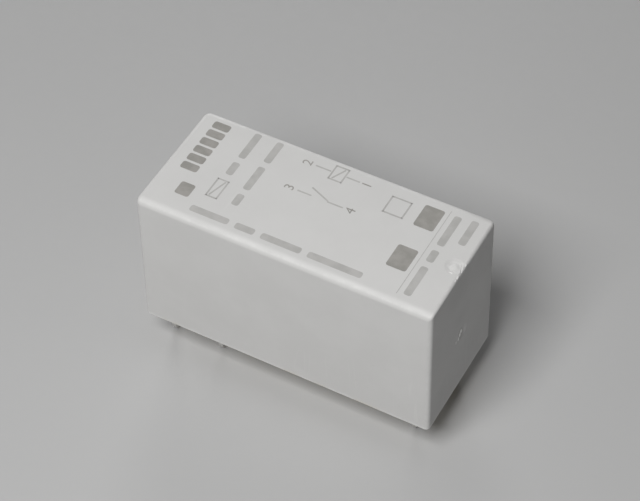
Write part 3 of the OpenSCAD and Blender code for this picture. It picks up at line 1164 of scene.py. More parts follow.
@dataclass(frozen=True)
class Ink(Grained):
    """Grey print, thin enough for the plastic to show through in places."""

    grain_scale: float = 7000.0
    tone_scale: float = 900.0
    cloud_weight: float = 0.7
    hole: tuple[float, float] = (0.6, 0.72)     # grain where a pin-hole begins, and is open
    hole_weight: float = 0.5

    def wire(self, board: Board, place: Socket) -> tuple[Socket, ...]:
        """Cloudy cover of ink with pin-holes.

        Args:
            board: the material's nodes.
            place: the coordinates.

        Returns:
            The sockets for colour, roughness and height.
        """
        mould = self.grain(board, place)
        holes = board.ramp(mould["Grain"], *self.hole, to_high=self.hole_weight)
        clouds = board.math("MULTIPLY", mould["Tone"], self.cloud_weight)
        thin = board.math("MAXIMUM", clouds, holes)
        colour = board.mix(thin, self.colour, self.second)
        return colour, board.ramp(mould["Tone"], 0.0, 1.0, *self.rough), mould["Grain"]


@dataclass(frozen=True)
class PouredResin(Grained):
    """Casting resin with clouds and small bubbles."""

    grain_scale: float = 900.0
    tone_scale: float = 240.0
    bubble_scale: float = 1100.0
    bubble: tuple[float, float] = (0.08, 0.2)   # a bubble's top and its foot, from its middle

    def wire(self, board: Board, place: Socket) -> tuple[Socket, ...]:
        """Broad clouds of colour, and bubbles as small round bumps.

        Args:
            board: the material's nodes.
            place: the coordinates.

        Returns:
            The sockets for colour, roughness and height.
        """
        mould = self.grain(board, place)
        bubbles = board.fade(board.cells(place, self.bubble_scale), *self.bubble)
        colour = board.mix(mould["Tone"], self.colour, self.second)
        height = board.math("ADD", mould["Grain"], bubbles)
        return colour, board.ramp(mould["Grain"], *self.grain_range, *self.rough), height


@dataclass(frozen=True)
class SheetMetal(Finish):
    """Rolled or plated metal, streaked along one direction and a little tarnished."""

    stretch: tuple[float, float, float] = (1.0, 1.0, 0.06)
    streak_scale: float = 9000.0
    tarnish_scale: float = 420.0
    tarnish: float = 0.5
    scuff_scale: float = 1200.0
    dust_scale: float = 2400.0

    def wire(self, board: Board, place: Socket) -> tuple[Socket, ...]:
        """Streaks and scratches for roughness, streaks for height, and tarnish for colour.

        Args:
            board: the material's nodes.
            place: the coordinates.

        Returns:
            The sockets for colour, roughness and height.
        """
        strip = RolledStrip.place(
            board,
            {
                "Vector": place,
                "Stretch": self.stretch,
                "Streak scale": self.streak_scale,
                "Tarnish scale": self.tarnish_scale,
            },
        )
        scratch = self.scuffs(board, place)["Scratch"]
        colour = board.lay(strip["Tarnish"], self.tarnish, self.colour, self.second)
        marked = board.math("MAXIMUM", strip["Streak"], scratch)
        return colour, board.ramp(marked, 0.0, 1.0, *self.rough), strip["Streak"]


class Palette:
    """The relay's finishes."""

    COVER = CoverPlastic(
        "light grey cover plastic", (0.618, 0.614, 0.603), (0.598, 0.594, 0.583), (0.55, 0.66)
    )
    INK = Ink("grey print", (0.28, 0.273, 0.252), (0.37, 0.355, 0.335), (0.55, 0.7), relief=MICRON)
    PALE_INK = Ink(
        "thin grey print", (0.41, 0.405, 0.39), (0.49, 0.482, 0.468), (0.55, 0.7), relief=MICRON
    )
    RESIN = PouredResin(
        "ivory casting resin",
        (0.5, 0.42, 0.27),
        (0.42, 0.34, 0.2),
        (0.12, 0.3),
        coat=0.4,
        relief=8 * MICRON,
    )
    BASE = MouldedPlastic(
        "dark grey base plastic", (0.026, 0.027, 0.029), (0.036, 0.036, 0.038), (0.45, 0.6)
    )
    BOBBIN = MouldedPlastic(
        "black bobbin plastic", (0.012, 0.012, 0.013), (0.019, 0.019, 0.02), (0.36, 0.5)
    )
    CARD = MouldedPlastic("white card plastic", (0.72, 0.7, 0.65), (0.66, 0.64, 0.59), (0.38, 0.5))
    TIN = SheetMetal(
        "bright tin",
        (0.76, 0.755, 0.735),
        (0.6, 0.59, 0.57),
        (0.26, 0.4),
        metallic=1.0,
        relief=0.6 * MICRON,
    )
    IRON = SheetMetal(
        "dull nickel",
        (0.5, 0.495, 0.48),
        (0.36, 0.35, 0.335),
        (0.36, 0.55),
        metallic=1.0,
        stretch=(0.06, 1.0, 1.0),
    )
    SPRING = SheetMetal(
        "bronze spring strip",
        (0.72, 0.47, 0.22),
        (0.6, 0.37, 0.16),
        (0.26, 0.36),
        metallic=1.0,
        relief=0.4 * MICRON,
    )
    SILVER = SheetMetal(
        "contact silver",
        (0.84, 0.83, 0.8),
        (0.62, 0.58, 0.5),
        (0.18, 0.38),
        metallic=1.0,
        stretch=(1.0, 0.5, 0.5),
    )
    COPPER = SheetMetal(
        "enamelled copper wire",
        (0.66, 0.22, 0.08),
        (0.5, 0.14, 0.05),
        (0.2, 0.36),
        metallic=0.9,
        coat=0.6,
        stretch=(1.0, 0.1, 0.1),
    )
    TAPE = MouldedPlastic(
        "yellow polyester tape",
        (0.74, 0.5, 0.07),
        (0.66, 0.42, 0.05),
        (0.2, 0.36),
        coat=0.5,
        relief=6 * MICRON,
        grain_scale=700.0,
        tone_scale=200.0,
    )
    FLOOR = Paper("pale studio floor", (0.47, 0.47, 0.468), (0.46, 0.46, 0.458), (0.75, 0.85))


# Sub-assemblies


@dataclass(frozen=True)
class Seat:
    """Where a piece belongs: its body, its finish and slot, and the solids that it stands for."""

    body: str
    finish: Finish
    slot: str | None = None
    nodes: tuple[str, ...] = ()

    def dress(self, piece: Object) -> Object:
        """Gives a piece its finish and the solids that it stands for.

        Args:
            piece: the piece.

        Returns:
            The piece.
        """
        piece.data.materials.clear()
        piece.data.materials.append(self.finish.material())
        if self.nodes:
            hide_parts(*self.nodes)
        return piece

    def put(self, piece: Object) -> Object:
        """Dresses a rigid piece and lets it ride on its body."""
        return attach(self.dress(piece), self.body)


def softened(node: str, body: str, finish: Finish, slot: str, radius: float) -> Object:
    """Copies a solid, rounds its edges as a press or a mould leaves them, and seats the copy.

    Args:
        node: the solid's name.
        body: the body that it rides on.
        finish: its finish.
        slot: the slot's name; not used.
        radius: radius of its edges.

    Returns:
        The piece, which stands for the solid.
    """
    piece = soften(copy_node(node, node + "_piece"), radius)
    return Seat(body, finish, slot, (node,)).put(piece)


@dataclass
class Cover:
    """The moulded cover: a thin box, open below, with a vent in its top and a torn gate on one end."""

    wall: float = 0.8 * MM
    lean: float = 0.12 * MM
    long_radius: float = 0.75 * MM
    short_share: float = 0.6        # short edges and front uprights have this share of that radius
    sharp_share: float = 0.4        # and the short edge beside the vent this one
    edge_steps: int = 8
    small_steps: int = 3
    inner_radius: float = 0.25 * MM
    rim_radius: float = 0.1 * MM
    vent_inset: float = 0.95 * MM
    vent_y: float = -0.25 * MM
    vent_radius: float = 0.92 * MM
    vent_depth: float = 0.11 * MM
    vent_room: float = 2.0          # rows of edges pass this many radii beside the vent
    vent_end: float = 3.0           # and one row this many insets from the end
    gate_height: float = 7.25 * MM
    gate_radius: float = 0.8 * MM
    gate_depth: float = 0.14 * MM
    gate_room: float = 1.4          # rows of edges pass this many radii above and below the gate
    dish_spread: float = 1.76       # a dish's cutter is this many times as wide as the dish
    dish_fine: int = 5              # how often the cutter's triangles are divided

    def build(self) -> list[Object]:
        """Models the cover and seats it.

        Returns:
            The cover, as a list of one.
        """
        piece = self.shell()
        self.dish(piece, self.vent_centre(), Z_AXIS, self.vent_radius, self.vent_depth)
        self.dish(piece, self.gate_centre(), X_AXIS, self.gate_radius, self.gate_depth)
        for lump in (self.nib(), *self.burrs(), *self.tears()):
            lump.add_to(piece, Joining.WELD)
        for hole in self.holes():
            hole.add_to(piece, Joining.CUT)
        clean(piece)
        shade(piece)
        finish = replace(Palette.COVER, melts=(self.nib(),), tears=tuple(self.tears()))
        return [Seat("housing", finish, "cover", ("cover",)).put(piece)]

    def shell(self) -> Object:
        """Hollows a box from below, leans its walls and rounds its edges.

        Returns:
            The shell.
        """
        low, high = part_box("cover")
        top = high.z - INK
        ceiling = top - self.wall
        piece = add_box("cover_shell", low, Vector((high.x, high.y, top)))
        with Editing(piece) as edit:
            edit.pick(Kind.FACES, lambda face: face.normal.z < -FACING)
            edit.inset(self.wall)
            edit.extrude(Vector((0, 0, ceiling - low.z)))
            inner_lean = self.lean * (ceiling - low.z) / (top - low.z)
            edit.resize(self.shrink(high, self.wall, inner_lean), Vector((0, 0, ceiling)))
            edit.pick(Kind.FACES, lambda face: face.normal.z > FACING)
            edit.resize(self.shrink(high, 0, self.lean), Vector((0, 0, top)))
            edit.pick(Kind.EDGES, lambda edge: len(self.ends_above(edge, top)) > 0)
            bpy.ops.transform.edge_bevelweight(value=self.short_share)
            edit.pick(Kind.EDGES, lambda edge: self.is_rounder(edge, top))
            bpy.ops.transform.edge_bevelweight(value=1 - self.short_share)
            edit.pick(Kind.EDGES, lambda edge: self.is_sharper(edge, top))
            bpy.ops.transform.edge_bevelweight(value=self.sharp_share - self.short_share)
        apply_modifier(
            piece, "BEVEL", width=self.long_radius, segments=self.edge_steps, limit_method="WEIGHT"
        )
        self.trim(piece, ceiling)
        return piece

    def trim(self, piece: Object, ceiling: float) -> None:
        """Rounds the edges of ceiling and rim, and lays rows of edges round the vent and the gate.

        Args:
            piece: the shell.
            ceiling: height of its inner top.
        """
        low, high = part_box("cover")
        with Editing(piece) as edit:
            edit.pick(
                Kind.EDGES, lambda edge: any(abs(vert.co.z - ceiling) < TINY for vert in edge.verts)
            )
            edit.bevel(self.inner_radius, self.small_steps)
            edit.pick(
                Kind.EDGES,
                lambda edge: all(vert.co.z < low.z + TINY for vert in edge.verts)
                and edge.calc_face_angle(0) > SHARP,
            )
            edit.bevel(self.rim_radius, self.small_steps)
            for side in (-1, 1):
                gate_side = self.gate_height + side * self.gate_room * self.gate_radius
                edit.slice(Vector((0, 0, gate_side)), Z_AXIS)
                edit.slice(Vector((0, side * self.vent_room * self.vent_radius, 0)), Y_AXIS)
            edit.slice(Vector((high.x - self.vent_end * self.vent_inset, 0, 0)), X_AXIS)

    @staticmethod
    def ends_above(edge: Edge, top: float) -> list[Vector]:
        """Lists the ends of an edge that lie in the top."""
        return [vert.co for vert in edge.verts if vert.co.z > top - TINY]

    def is_rounder(self, edge: Edge, top: float) -> bool:
        """Tells whether an edge is one of the rounder ones: long ones of the top and rear uprights.

        Args:
            edge: the edge.
            top: height of the top.

        Returns:
            True for a rounder edge.
        """
        ends = self.ends_above(edge, top)
        if len(ends) == 1:
            return ends[0].y > 0
        return len(ends) == 2 and abs(ends[0].y - ends[1].y) < TINY

    def is_sharper(self, edge: Edge, top: float) -> bool:
        """Tells whether an edge is the sharper one: the top's short one at the coil end."""
        return [end.x > 0 for end in self.ends_above(edge, top)] == [True, True]

    @staticmethod
    def shrink(high: Vector, inside: float, lean: float) -> tuple[float, float, float]:
        """Works out how much a level of the box narrows by its lean.

        Args:
            high: the cover's highest corner.
            inside: how far the level's walls lie inside the rim's outer edge.
            lean: how far each of them leans in.

        Returns:
            The factors along X, Y and Z.
        """
        half_x = high.x - inside
        half_y = high.y - inside
        return (half_x - lean) / half_x, (half_y - lean) / half_y, 1.0

    def vent_centre(self) -> Vector:
        """Finds the middle of the vent, on the top."""
        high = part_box("cover")[1]
        return Vector((high.x - self.vent_inset, self.vent_y, high.z - INK))

    def gate_centre(self) -> Vector:
        """Finds the middle of the gate, on the leaning end wall.

        Returns:
            The point.
        """
        low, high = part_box("cover")
        share = (self.gate_height - low.z) / (high.z - low.z)
        return Vector((high.x - self.lean * share, 0, self.gate_height))

    def dish(self, piece: Object, centre: Vector, outward: Vector, radius: float, depth: float) -> None:
        """Sinks a shallow round dish with soft edges into a side of the cover.

        Args:
            piece: the cover.
            centre: the dish's middle, on the side's surface.
            outward: the side's normal, along an axis.
            radius: the dish's radius at the surface.
            depth: its depth.
        """
        rise = math.sqrt(1 - 1 / self.dish_spread**2)
        thickness = depth / (1 - rise)
        wide = radius * self.dish_spread
        radii = Vector([thickness if part else wide for part in outward])
        middle = centre + outward * thickness * rise
        cutter = add_ball("dish_cutter", middle, radii, self.dish_fine)
        combine(piece, cutter, Joining.CUT)

    def nib(self) -> Lump:
        """The melted nib that closes the vent, level with the top.

        Returns:
            The lump.
        """
        sunk = 0.35 * MM
        aside = Vector((0.05 * MM, -0.1 * MM, -sunk))
        radii = Vector((0.68 * MM, 0.8 * MM, sunk))
        return Lump(self.vent_centre() + aside, radii, rough=5 * MICRON)

    def holes(self) -> list[Lump]:
        """Crevices on two sides of the nib, and nicks in the rim below the gate.

        Returns:
            The shapes to cut out.
        """
        low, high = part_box("cover")
        vent = self.vent_centre()
        slant = (0, 0, 0.36)
        beside = Lump(vent + Vector((0.61, 0.03, 0)) * MM, Vector((0.1, 0.66, 0.14)) * MM, slant)
        before = Lump(vent + Vector((-0.05, -0.83, 0)) * MM, Vector((0.3, 0.11, 0.11)) * MM)
        lengths = {0.45 * MM: 0.22, 4.08 * MM: 0.16, 2.6 * MM: 0.12}
        nicks = [
            Lump(Vector((high.x, y, low.z)), Vector((0.3, length, 0.1)) * MM)
            for y, length in lengths.items()
        ]
        return [beside, before, *nicks]

    def burrs(self) -> list[Lump]:
        """Small burrs on the edge beside the vent.

        Returns:
            The lumps.
        """
        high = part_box("cover")[1]
        edge = Vector((high.x - 0.235 * MM, 0, high.z - 0.135 * MM))
        sizes = {-1.6 * MM: 0.09 * MM, -1.2 * MM: 0.12 * MM, 0.35 * MM: 0.11 * MM}
        return [
            Lump(edge + Vector((0, y, 0)), Vector((size, 2 * size, size))) for y, size in sizes.items()
        ]

    def tears(self) -> list[Lump]:
        """What tearing left at the gate: a slanted sliver in three shreds, and a crumb.

        Returns:
            The lumps.
        """
        centre = self.gate_centre()
        slant = (-0.7, 0, 0)
        shred = Vector((0.16, 0.14, 0.27)) * MM
        shreds = [
            Lump(centre + Vector((-0.12, y, z)) * MM, shred, slant)
            for y, z in ((-0.24, 0.3), (-0.48, 0.0), (-0.75, -0.27))
        ]
        crumb = Lump(centre + Vector((-0.01, -1.25, -0.22)) * MM, Vector((0.055, 0.12, 0.14)) * MM)
        return [*shreds, crumb]


class Layer(Enum):
    """How dense a mark of the print is."""

    SOLID = "solid"
    THIN = "thin"


@dataclass
class TopPrint:
    """Generic print on the top: plain blocks and bars, and the signs of a coil and a contact.

    Places on the top are pairs of millimetres, along X and along Y.
    """

    stroke: float = 0.15 * MM
    line_corner: float = 0.45       # corners of a thin line, as a share of its stroke
    sign_inside: float = 1.3        # strokes between a coil's slanted line and its frame's edge
    divider_width: float = 0.06 * MM
    divider_corner: float = 0.015 * MM
    corner: float = 0.22 * MM
    digit_height: float = 1.3 * MM
    digit_steps: int = 4
    bar_width: float = 0.7 * MM
    bar_gap: float = 0.65           # in millimetres, as places are
    lone_width: float = 1.4 * MM
    block_width: float = 1.7 * MM
    block_pitch: float = 1.1 * MM
    blocks_in_row: int = 6
    square_width: float = 1.9 * MM
    square_pitch: float = 5.1 * MM
    corner_steps: int = 4

    def build(self) -> list[Object]:
        """Prints each field as one piece.

        Returns:
            The four fields.
        """
        return [
            self.field("print_blocks", self.blocks(), Layer.SOLID),
            self.field("print_word_rows", self.bar_rows(), Layer.THIN),
            self.field("print_signs", self.signs(), Layer.THIN),
            self.field("print_numbers", self.numbers(), Layer.SOLID),
        ]

    def field(self, name: str, marks: list[Object], layer: Layer) -> Object:
        """Joins the marks of a field and seats them on the cover."""
        finish = Palette.INK if layer is Layer.SOLID else Palette.PALE_INK
        return Seat("housing", finish).put(shade(join(name, marks)))

    def bar(self, start: Spot, end: Spot, width: float, corner: float) -> Object:
        """Prints a straight bar with rounded corners.

        Args:
            start: middle of one end.
            end: middle of the other end.
            width: the bar's width.
            corner: radius of its corners.

        Returns:
            The bar.
        """
        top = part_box("cover")[1].z
        first = Vector((*start, 0)) * MM
        way = Vector((*end, 0)) * MM - first
        middle = first + way / 2 + Vector((0, 0, top))
        half = Vector((way.length / 2, width / 2, 0))
        sunk = Vector((0, 0, 2 * INK))
        piece = add_box("mark", middle - half - sunk, middle + half, math.atan2(way.y, way.x))
        with Editing(piece) as edit:
            edit.pick(Kind.EDGES, lambda edge: abs(edge.verts[0].co.z - edge.verts[1].co.z) > INK)
            edit.bevel(corner, self.corner_steps)
        return piece

    def line(self, *spots: Spot) -> list[Object]:
        """Prints a thin line through several places."""
        corner = self.line_corner * self.stroke
        return [self.bar(here, there, self.stroke, corner) for here, there in zip(spots, spots[1:])]

    def frame(self, low: Spot, high: Spot) -> Object:
        """Prints a thin rectangle between two corners.

        Args:
            low: its lowest corner.
            high: its highest corner.

        Returns:
            The rectangle, open in its middle.
        """
        middle = (low[1] + high[1]) / 2
        piece = self.bar((low[0], middle), (high[0], middle), (high[1] - low[1]) * MM, self.stroke / 2)
        with Editing(piece) as edit:
            edit.pick(Kind.FACES, lambda face: abs(face.normal.z) > FACING)
            edit.inset(self.stroke)
            bpy.ops.mesh.bridge_edge_loops()
        return piece

    def coil(self, low: Spot, high: Spot) -> list[Object]:
        """Prints the sign of a coil: a rectangle with a slanted line in it.

        Args:
            low: its lowest corner.
            high: its highest corner.

        Returns:
            The marks.
        """
        quarter = (high[0] - low[0]) / 4
        inside = self.sign_inside * self.stroke / MM
        slant = ((low[0] + quarter, low[1] + inside), (high[0] - quarter, high[1] - inside))
        return [self.frame(low, high), *self.line(*slant)]

    def bar_row(self, start: Spot, lengths: Sequence[float], across: bool) -> list[Object]:
        """Prints a row of bars.

        Args:
            start: where the row starts.
            lengths: the bars' lengths in millimetres.
            across: True for a row along Y, False for one along X.

        Returns:
            The bars.
        """
        bars = []
        here = Vector(start)
        along = Vector((0, 1)) if across else Vector((1, 0))
        for length in lengths:
            bars.append(self.bar(here, here + along * length, self.bar_width, self.corner))
            here = here + along * (length + self.bar_gap)
        return bars

    def digit(self, number: int, spot: Spot) -> Object:
        """Prints a plain number that reads towards the rear.

        Args:
            number: the number.
            spot: its middle.

        Returns:
            The number as a mesh.
        """
        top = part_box("cover")[1].z
        deselect_all()
        bpy.ops.object.text_add(
            location=(spot[0] * MM, spot[1] * MM, top - INK), rotation=(0, 0, math.pi / 2)
        )
        text = bpy.context.object.data
        text.body = str(number)
        text.size = self.digit_height
        text.align_x = "CENTER"
        text.align_y = "CENTER"
        text.extrude = INK
        text.resolution_u = self.digit_steps
        bpy.ops.object.convert(target="MESH")
        return settle("number")

    def blocks(self) -> list[Object]:
        """A row of equal blocks and a lone one at the contact end, and two squares at the other.

        Returns:
            The marks.
        """
        block = self.bar((-12.1, -1.15), (-12.1, -0.3), self.block_width, self.corner)
        shifts = [Y_AXIS * self.block_pitch * step for step in range(1, self.blocks_in_row)]
        lone = self.bar((-11.1, -4.0), (-11.1, -2.5), self.lone_width, self.corner)
        square = self.bar((9.2, -2.8), (9.2, -0.2), self.square_width, self.corner)
        second = copy_piece(square, Y_AXIS * self.square_pitch)
        return [block, *(copy_piece(block, shift) for shift in shifts), lone, square, second]

    def bar_rows(self) -> list[Object]:
        """Rows of plain bars: four across the top, and one along its front.

        Returns:
            The marks.
        """
        return [
            *self.bar_row((-8.65, 0.0), (1.6, 3.3), across=True),
            *self.bar_row((-6.4, -2.9), (1.4, 3.0, 2.7), across=True),
            *self.bar_row((-9.6, -4.85), (3.8, 1.9, 3.9, 5.2), across=False),
            *self.bar_row((11.4, -5.0), (3.5, 1.4, 3.7), across=True),
            *self.bar_row((12.95, 2.1), (3.0,), across=True),
        ]

    def signs(self) -> list[Object]:
        """A coil and an open contact with their leads, a small coil, a frame and a dividing line.

        Returns:
            The marks.
        """
        return [
            *self.coil((-0.8, 3.65), (0.6, 5.45)),
            *self.line((-2.4, 4.55), (-0.85, 4.55)),
            *self.line((0.65, 4.55), (2.0, 4.55)),
            *self.line((-2.4, 1.2), (-1.0, 1.2)),
            *self.line((-1.4, 2.1), (0.6, 1.27)),
            *self.line((0.55, 1.2), (2.1, 1.2)),
            *self.coil((-9.25, -3.05), (-8.05, -0.7)),
            self.frame((5.2, 2.4), (7.2, 4.5)),
            self.bar((10.55, -5.2), (10.55, 5.2), self.divider_width, self.divider_corner),
        ]

    def numbers(self) -> list[Object]:
        """The plain numbers of the four leads."""
        spots = {1: (2.7, 4.55), 2: (-3.15, 4.55), 3: (-3.15, 1.2), 4: (2.85, 1.2)}
        return [self.digit(number, spot) for number, spot in spots.items()]


@dataclass
class SealedBase:
    """The base with its feet, and the resin that was poured round pins and feet."""

    grid: float = 0.11 * MM
    foot_radius: float = 0.75 * MM
    feet_x: tuple[float, float] = (-10.5 * MM, 9.5 * MM)
    foot_y: float = 4.449 * MM
    leg_width: float = 1.0 * MM
    leg_y: float = 3.75 * MM
    sheet: float = 0.5 * MM
    wall_rise: float = 0.08 * MM
    pin_rise: float = 0.15 * MM
    foot_rise: float = 0.11 * MM
    creep: float = 0.2 * MM
    ripple: float = 0.012 * MM
    wave_x: float = 0.9             # ripples' waves, in radians per millimetre
    wave_y: float = 1.3
    slant_x: float = 0.37
    slant_y: float = 0.8
    wave_start: tuple[float, float] = (0.6, 1.1)
    edge: float = 0.06 * MM

    def build(self) -> list[Object]:
        """Builds the base and the resin."""
        return [softened("base", "housing", Palette.BASE, "base", self.edge), self.resin()]

    def pins(self) -> list[tuple[Vector, Vector]]:
        """Finds the lowest and highest corners of all six pins.

        Returns:
            Pairs of lowest and highest corner.
        """
        boxes = [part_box(node) for node in ("coil_pin_left", "coil_pin_right")]
        half = Vector((0, self.leg_width / 2, 0))
        for node in ("normally_open_terminal", "common_terminal"):
            low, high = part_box(node)
            for side in (-1, 1):
                foot = Vector((low.x, side * self.leg_y, low.z))
                head = Vector((low.x + self.sheet, side * self.leg_y, high.z))
                boxes.append((foot - half, head + half))
        return boxes

    def level(self, x: np.ndarray, y: np.ndarray) -> np.ndarray:
        """Works out how far the resin has crept down at each point, by walls, pins and feet.

        Args:
            x: places along the relay.
            y: places across it.

        Returns:
            The depth below the flat level.
        """
        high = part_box("sealing_resin")[1]
        wall = np.minimum(high.x - np.abs(x), high.y - np.abs(y))
        depth = self.wall_rise * np.exp(-np.maximum(wall, 0) / self.creep)
        for low, top in self.pins():
            out_x = np.maximum(np.maximum(low.x - x, x - top.x), 0)
            out_y = np.maximum(np.maximum(low.y - y, y - top.y), 0)
            gap = np.hypot(out_x, out_y)
            depth = np.maximum(depth, self.pin_rise * np.exp(-gap / self.creep))
        for foot_x in self.feet_x:
            gap = np.maximum(np.hypot(x - foot_x, np.abs(y) - self.foot_y) - self.foot_radius, 0)
            depth = np.maximum(depth, self.foot_rise * np.exp(-gap / self.creep))
        start_x, start_y = self.wave_start
        crossed = np.sin(x / MM * self.wave_x + start_x) * np.sin(y / MM * self.wave_y + start_y)
        slanted = np.sin(x / MM * self.slant_x - y / MM * self.slant_y)
        return depth + self.ripple * (crossed + slanted) / 2

    def resin(self) -> Object:
        """Pours the resin: a fine sheet with its surface drawn to walls, pins and feet.

        Returns:
            The resin.
        """
        low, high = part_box("sealing_resin")
        size = high - low
        deselect_all()
        bpy.ops.mesh.primitive_grid_add(
            x_subdivisions=round(size.x / self.grid),
            y_subdivisions=round(size.y / self.grid),
            size=1,
            location=(0, 0, low.z),
        )
        piece = settle("sealing_resin_piece", (size.x, size.y, 1))
        with Editing(piece) as edit:
            edit.extrude(Vector((0, 0, size.z)))
            bpy.ops.mesh.dissolve_faces()
            edit.all()
            edit.face_outwards()
        places = np.empty(3 * len(piece.data.vertices))
        piece.data.vertices.foreach_get("co", places)
        places = places.reshape(-1, 3)
        below = places[:, 2] < low.z + TINY
        places[below, 2] -= self.level(places[below, 0], places[below, 1])
        piece.data.vertices.foreach_set("co", places.ravel())
        piece.data.update()
        combine(piece, self.pin_room(), Joining.CUT)
        clean(piece)
        shade(piece, degrees=50)
        return Seat("housing", Palette.RESIN, "resin", ("sealing_resin",)).put(piece)

    def pin_room(self) -> Object:
        """Builds the room that pins and feet take in the resin, as one cutter.

        Returns:
            The cutter.
        """
        rooms = [add_box("pin_room", low, high) for low, high in self.pins()]
        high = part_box("base")[1]
        for foot_x in self.feet_x:
            for side in (-1, 1):
                foot = Vector((foot_x, side * self.foot_y, -MM))
                rooms.append(add_rod("foot_room", self.foot_radius, foot, foot + Vector((0, 0, high.z))))
        return join("resin_cutter", rooms)


@dataclass
class Terminals:
    """The tinned terminals and coil pins."""

    edge: float = 0.07 * MM

    def build(self) -> list[Object]:
        """Builds the four pieces that end in pins."""
        nodes = ("normally_open_terminal", "common_terminal", "coil_pin_left", "coil_pin_right")
        return [softened(node, "housing", Palette.TIN, "tinned", self.edge) for node in nodes]


@dataclass
class Coil:
    """The bobbin with its winding, tape and leads."""

    wire: float = 0.2 * MM
    axis_z: float = 8.325 * MM
    post_x: float = 12.0 * MM
    post_y: float = 3.75 * MM
    post_reach: float = 0.433 * MM
    wrap_z: float = 5.1 * MM
    wraps: float = 2.5
    wrap_steps: int = 20
    bend_x: float = 0.9 * MM        # where a lead bends, from its start
    bend_y: float = 0.1 * MM
    bend_z: float = 0.2 * MM
    barrel: float = 2.65 * MM
    wire_sides: int = 8
    lead_steps: int = 3             # Blender's bevel resolution of a lead
    turn_steps: int = 48
    layer_sides: int = 64
    tape_sides: int = 96
    lap: float = 0.06 * MM
    lap_y: float = 0.3              # the lap lies where a normal's shares are above these
    lap_z: float = 0.5
    edge: float = 0.06 * MM

    def build(self) -> list[Object]:
        """Builds the coil from the bobbin outwards.

        Returns:
            The five pieces.
        """
        return [
            softened("bobbin", "housing", Palette.BOBBIN, "bobbin", self.edge),
            self.winding(),
            self.tape(),
            self.lead("coil_lead_left", 1),
            self.lead("coil_lead_right", -1),
        ]

    def winding(self) -> Object:
        """Winds the outer layer of wire as a helix on a core of inner layers.

        Returns:
            The winding.
        """
        low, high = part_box("coil_winding")
        radius = self.wire / 2
        outer = high.z - self.axis_z
        turns = int((high.x - low.x) / self.wire) - 1
        pitch = (high.x - low.x - self.wire) / turns
        deselect_all()
        bpy.ops.mesh.primitive_circle_add(
            vertices=self.wire_sides,
            radius=radius,
            location=(0, 0, outer - radius),
            rotation=(math.pi / 2, 0, 0),
        )
        helix = settle("coil_helix")
        apply_modifier(
            helix,
            "SCREW",
            axis="X",
            screw_offset=pitch,
            iterations=turns,
            steps=self.turn_steps,
            render_steps=self.turn_steps,
        )
        with Editing(helix) as edit:
            bpy.ops.mesh.fill_holes(sides=0)
            edit.all()
            edit.face_outwards()
            bpy.ops.transform.translate(value=(low.x + radius, 0, self.axis_z))
        start = Vector((low.x, 0, self.axis_z))
        end = Vector((high.x, 0, self.axis_z))
        layers = add_tube("coil_layers", self.barrel, outer - radius, start, end, self.layer_sides)
        piece = shade(join("coil_winding_piece", [layers, helix]), degrees=60)
        return Seat("housing", Palette.COPPER, "winding", ("coil_winding",)).put(piece)

    def tape(self) -> Object:
        """Wraps the film round the winding, with a lap where its end is stuck down.

        Returns:
            The tape.
        """
        low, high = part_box("coil_tape")
        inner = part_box("coil_winding")[1].z - self.axis_z
        start = Vector((low.x, 0, self.axis_z))
        end = Vector((high.x, 0, self.axis_z))
        piece = add_tube("coil_tape_piece", inner, high.z - self.axis_z, start, end, self.tape_sides)
        with Editing(piece) as edit:
            edit.pick(
                Kind.FACES,
                lambda face: face.normal.z > self.lap_z
                and face.normal.y > self.lap_y
                and (face.calc_center_median() - start).yz.length > inner,
            )
            edit.fatten(self.lap)
        shade(piece, degrees=30)
        return Seat("housing", Palette.TAPE, "tape", ("coil_tape",)).put(piece)

    def lead(self, node: str, side: int) -> Object:
        """Leads the wire from the winding to a pin and wraps it round the post.

        Args:
            node: the solid that the lead stands for.
            side: 1 or -1, for the pin's side.

        Returns:
            The lead.
        """
        low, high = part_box(node)
        radius = self.wire / 2
        reach = self.post_reach + radius
        near_y = min(abs(low.y), abs(high.y)) + radius
        route = [
            Vector((low.x + radius, side * near_y, low.z + radius)),
            Vector((low.x + self.bend_x, side * (near_y + self.bend_y), low.z + self.bend_z)),
        ]
        for step in range(int(self.wraps * self.wrap_steps) + 1):
            angle = math.pi + FULL_TURN * step / self.wrap_steps
            x = self.post_x + reach * math.cos(angle)
            y = side * (self.post_y + reach * math.sin(angle))
            route.append(Vector((x, y, self.wrap_z + self.wire * step / self.wrap_steps)))
        piece = add_path(node + "_piece", route)
        take(piece)
        bpy.ops.object.convert(target="CURVE")
        piece.data.bevel_depth = radius
        piece.data.bevel_resolution = self.lead_steps
        piece.data.use_fill_caps = True
        bpy.ops.object.convert(target="MESH")
        with Editing(piece) as edit:
            edit.merge()
            edit.face_outwards()
        shade(piece, degrees=50)
        return Seat("housing", Palette.COPPER, "winding", (node,)).put(piece)


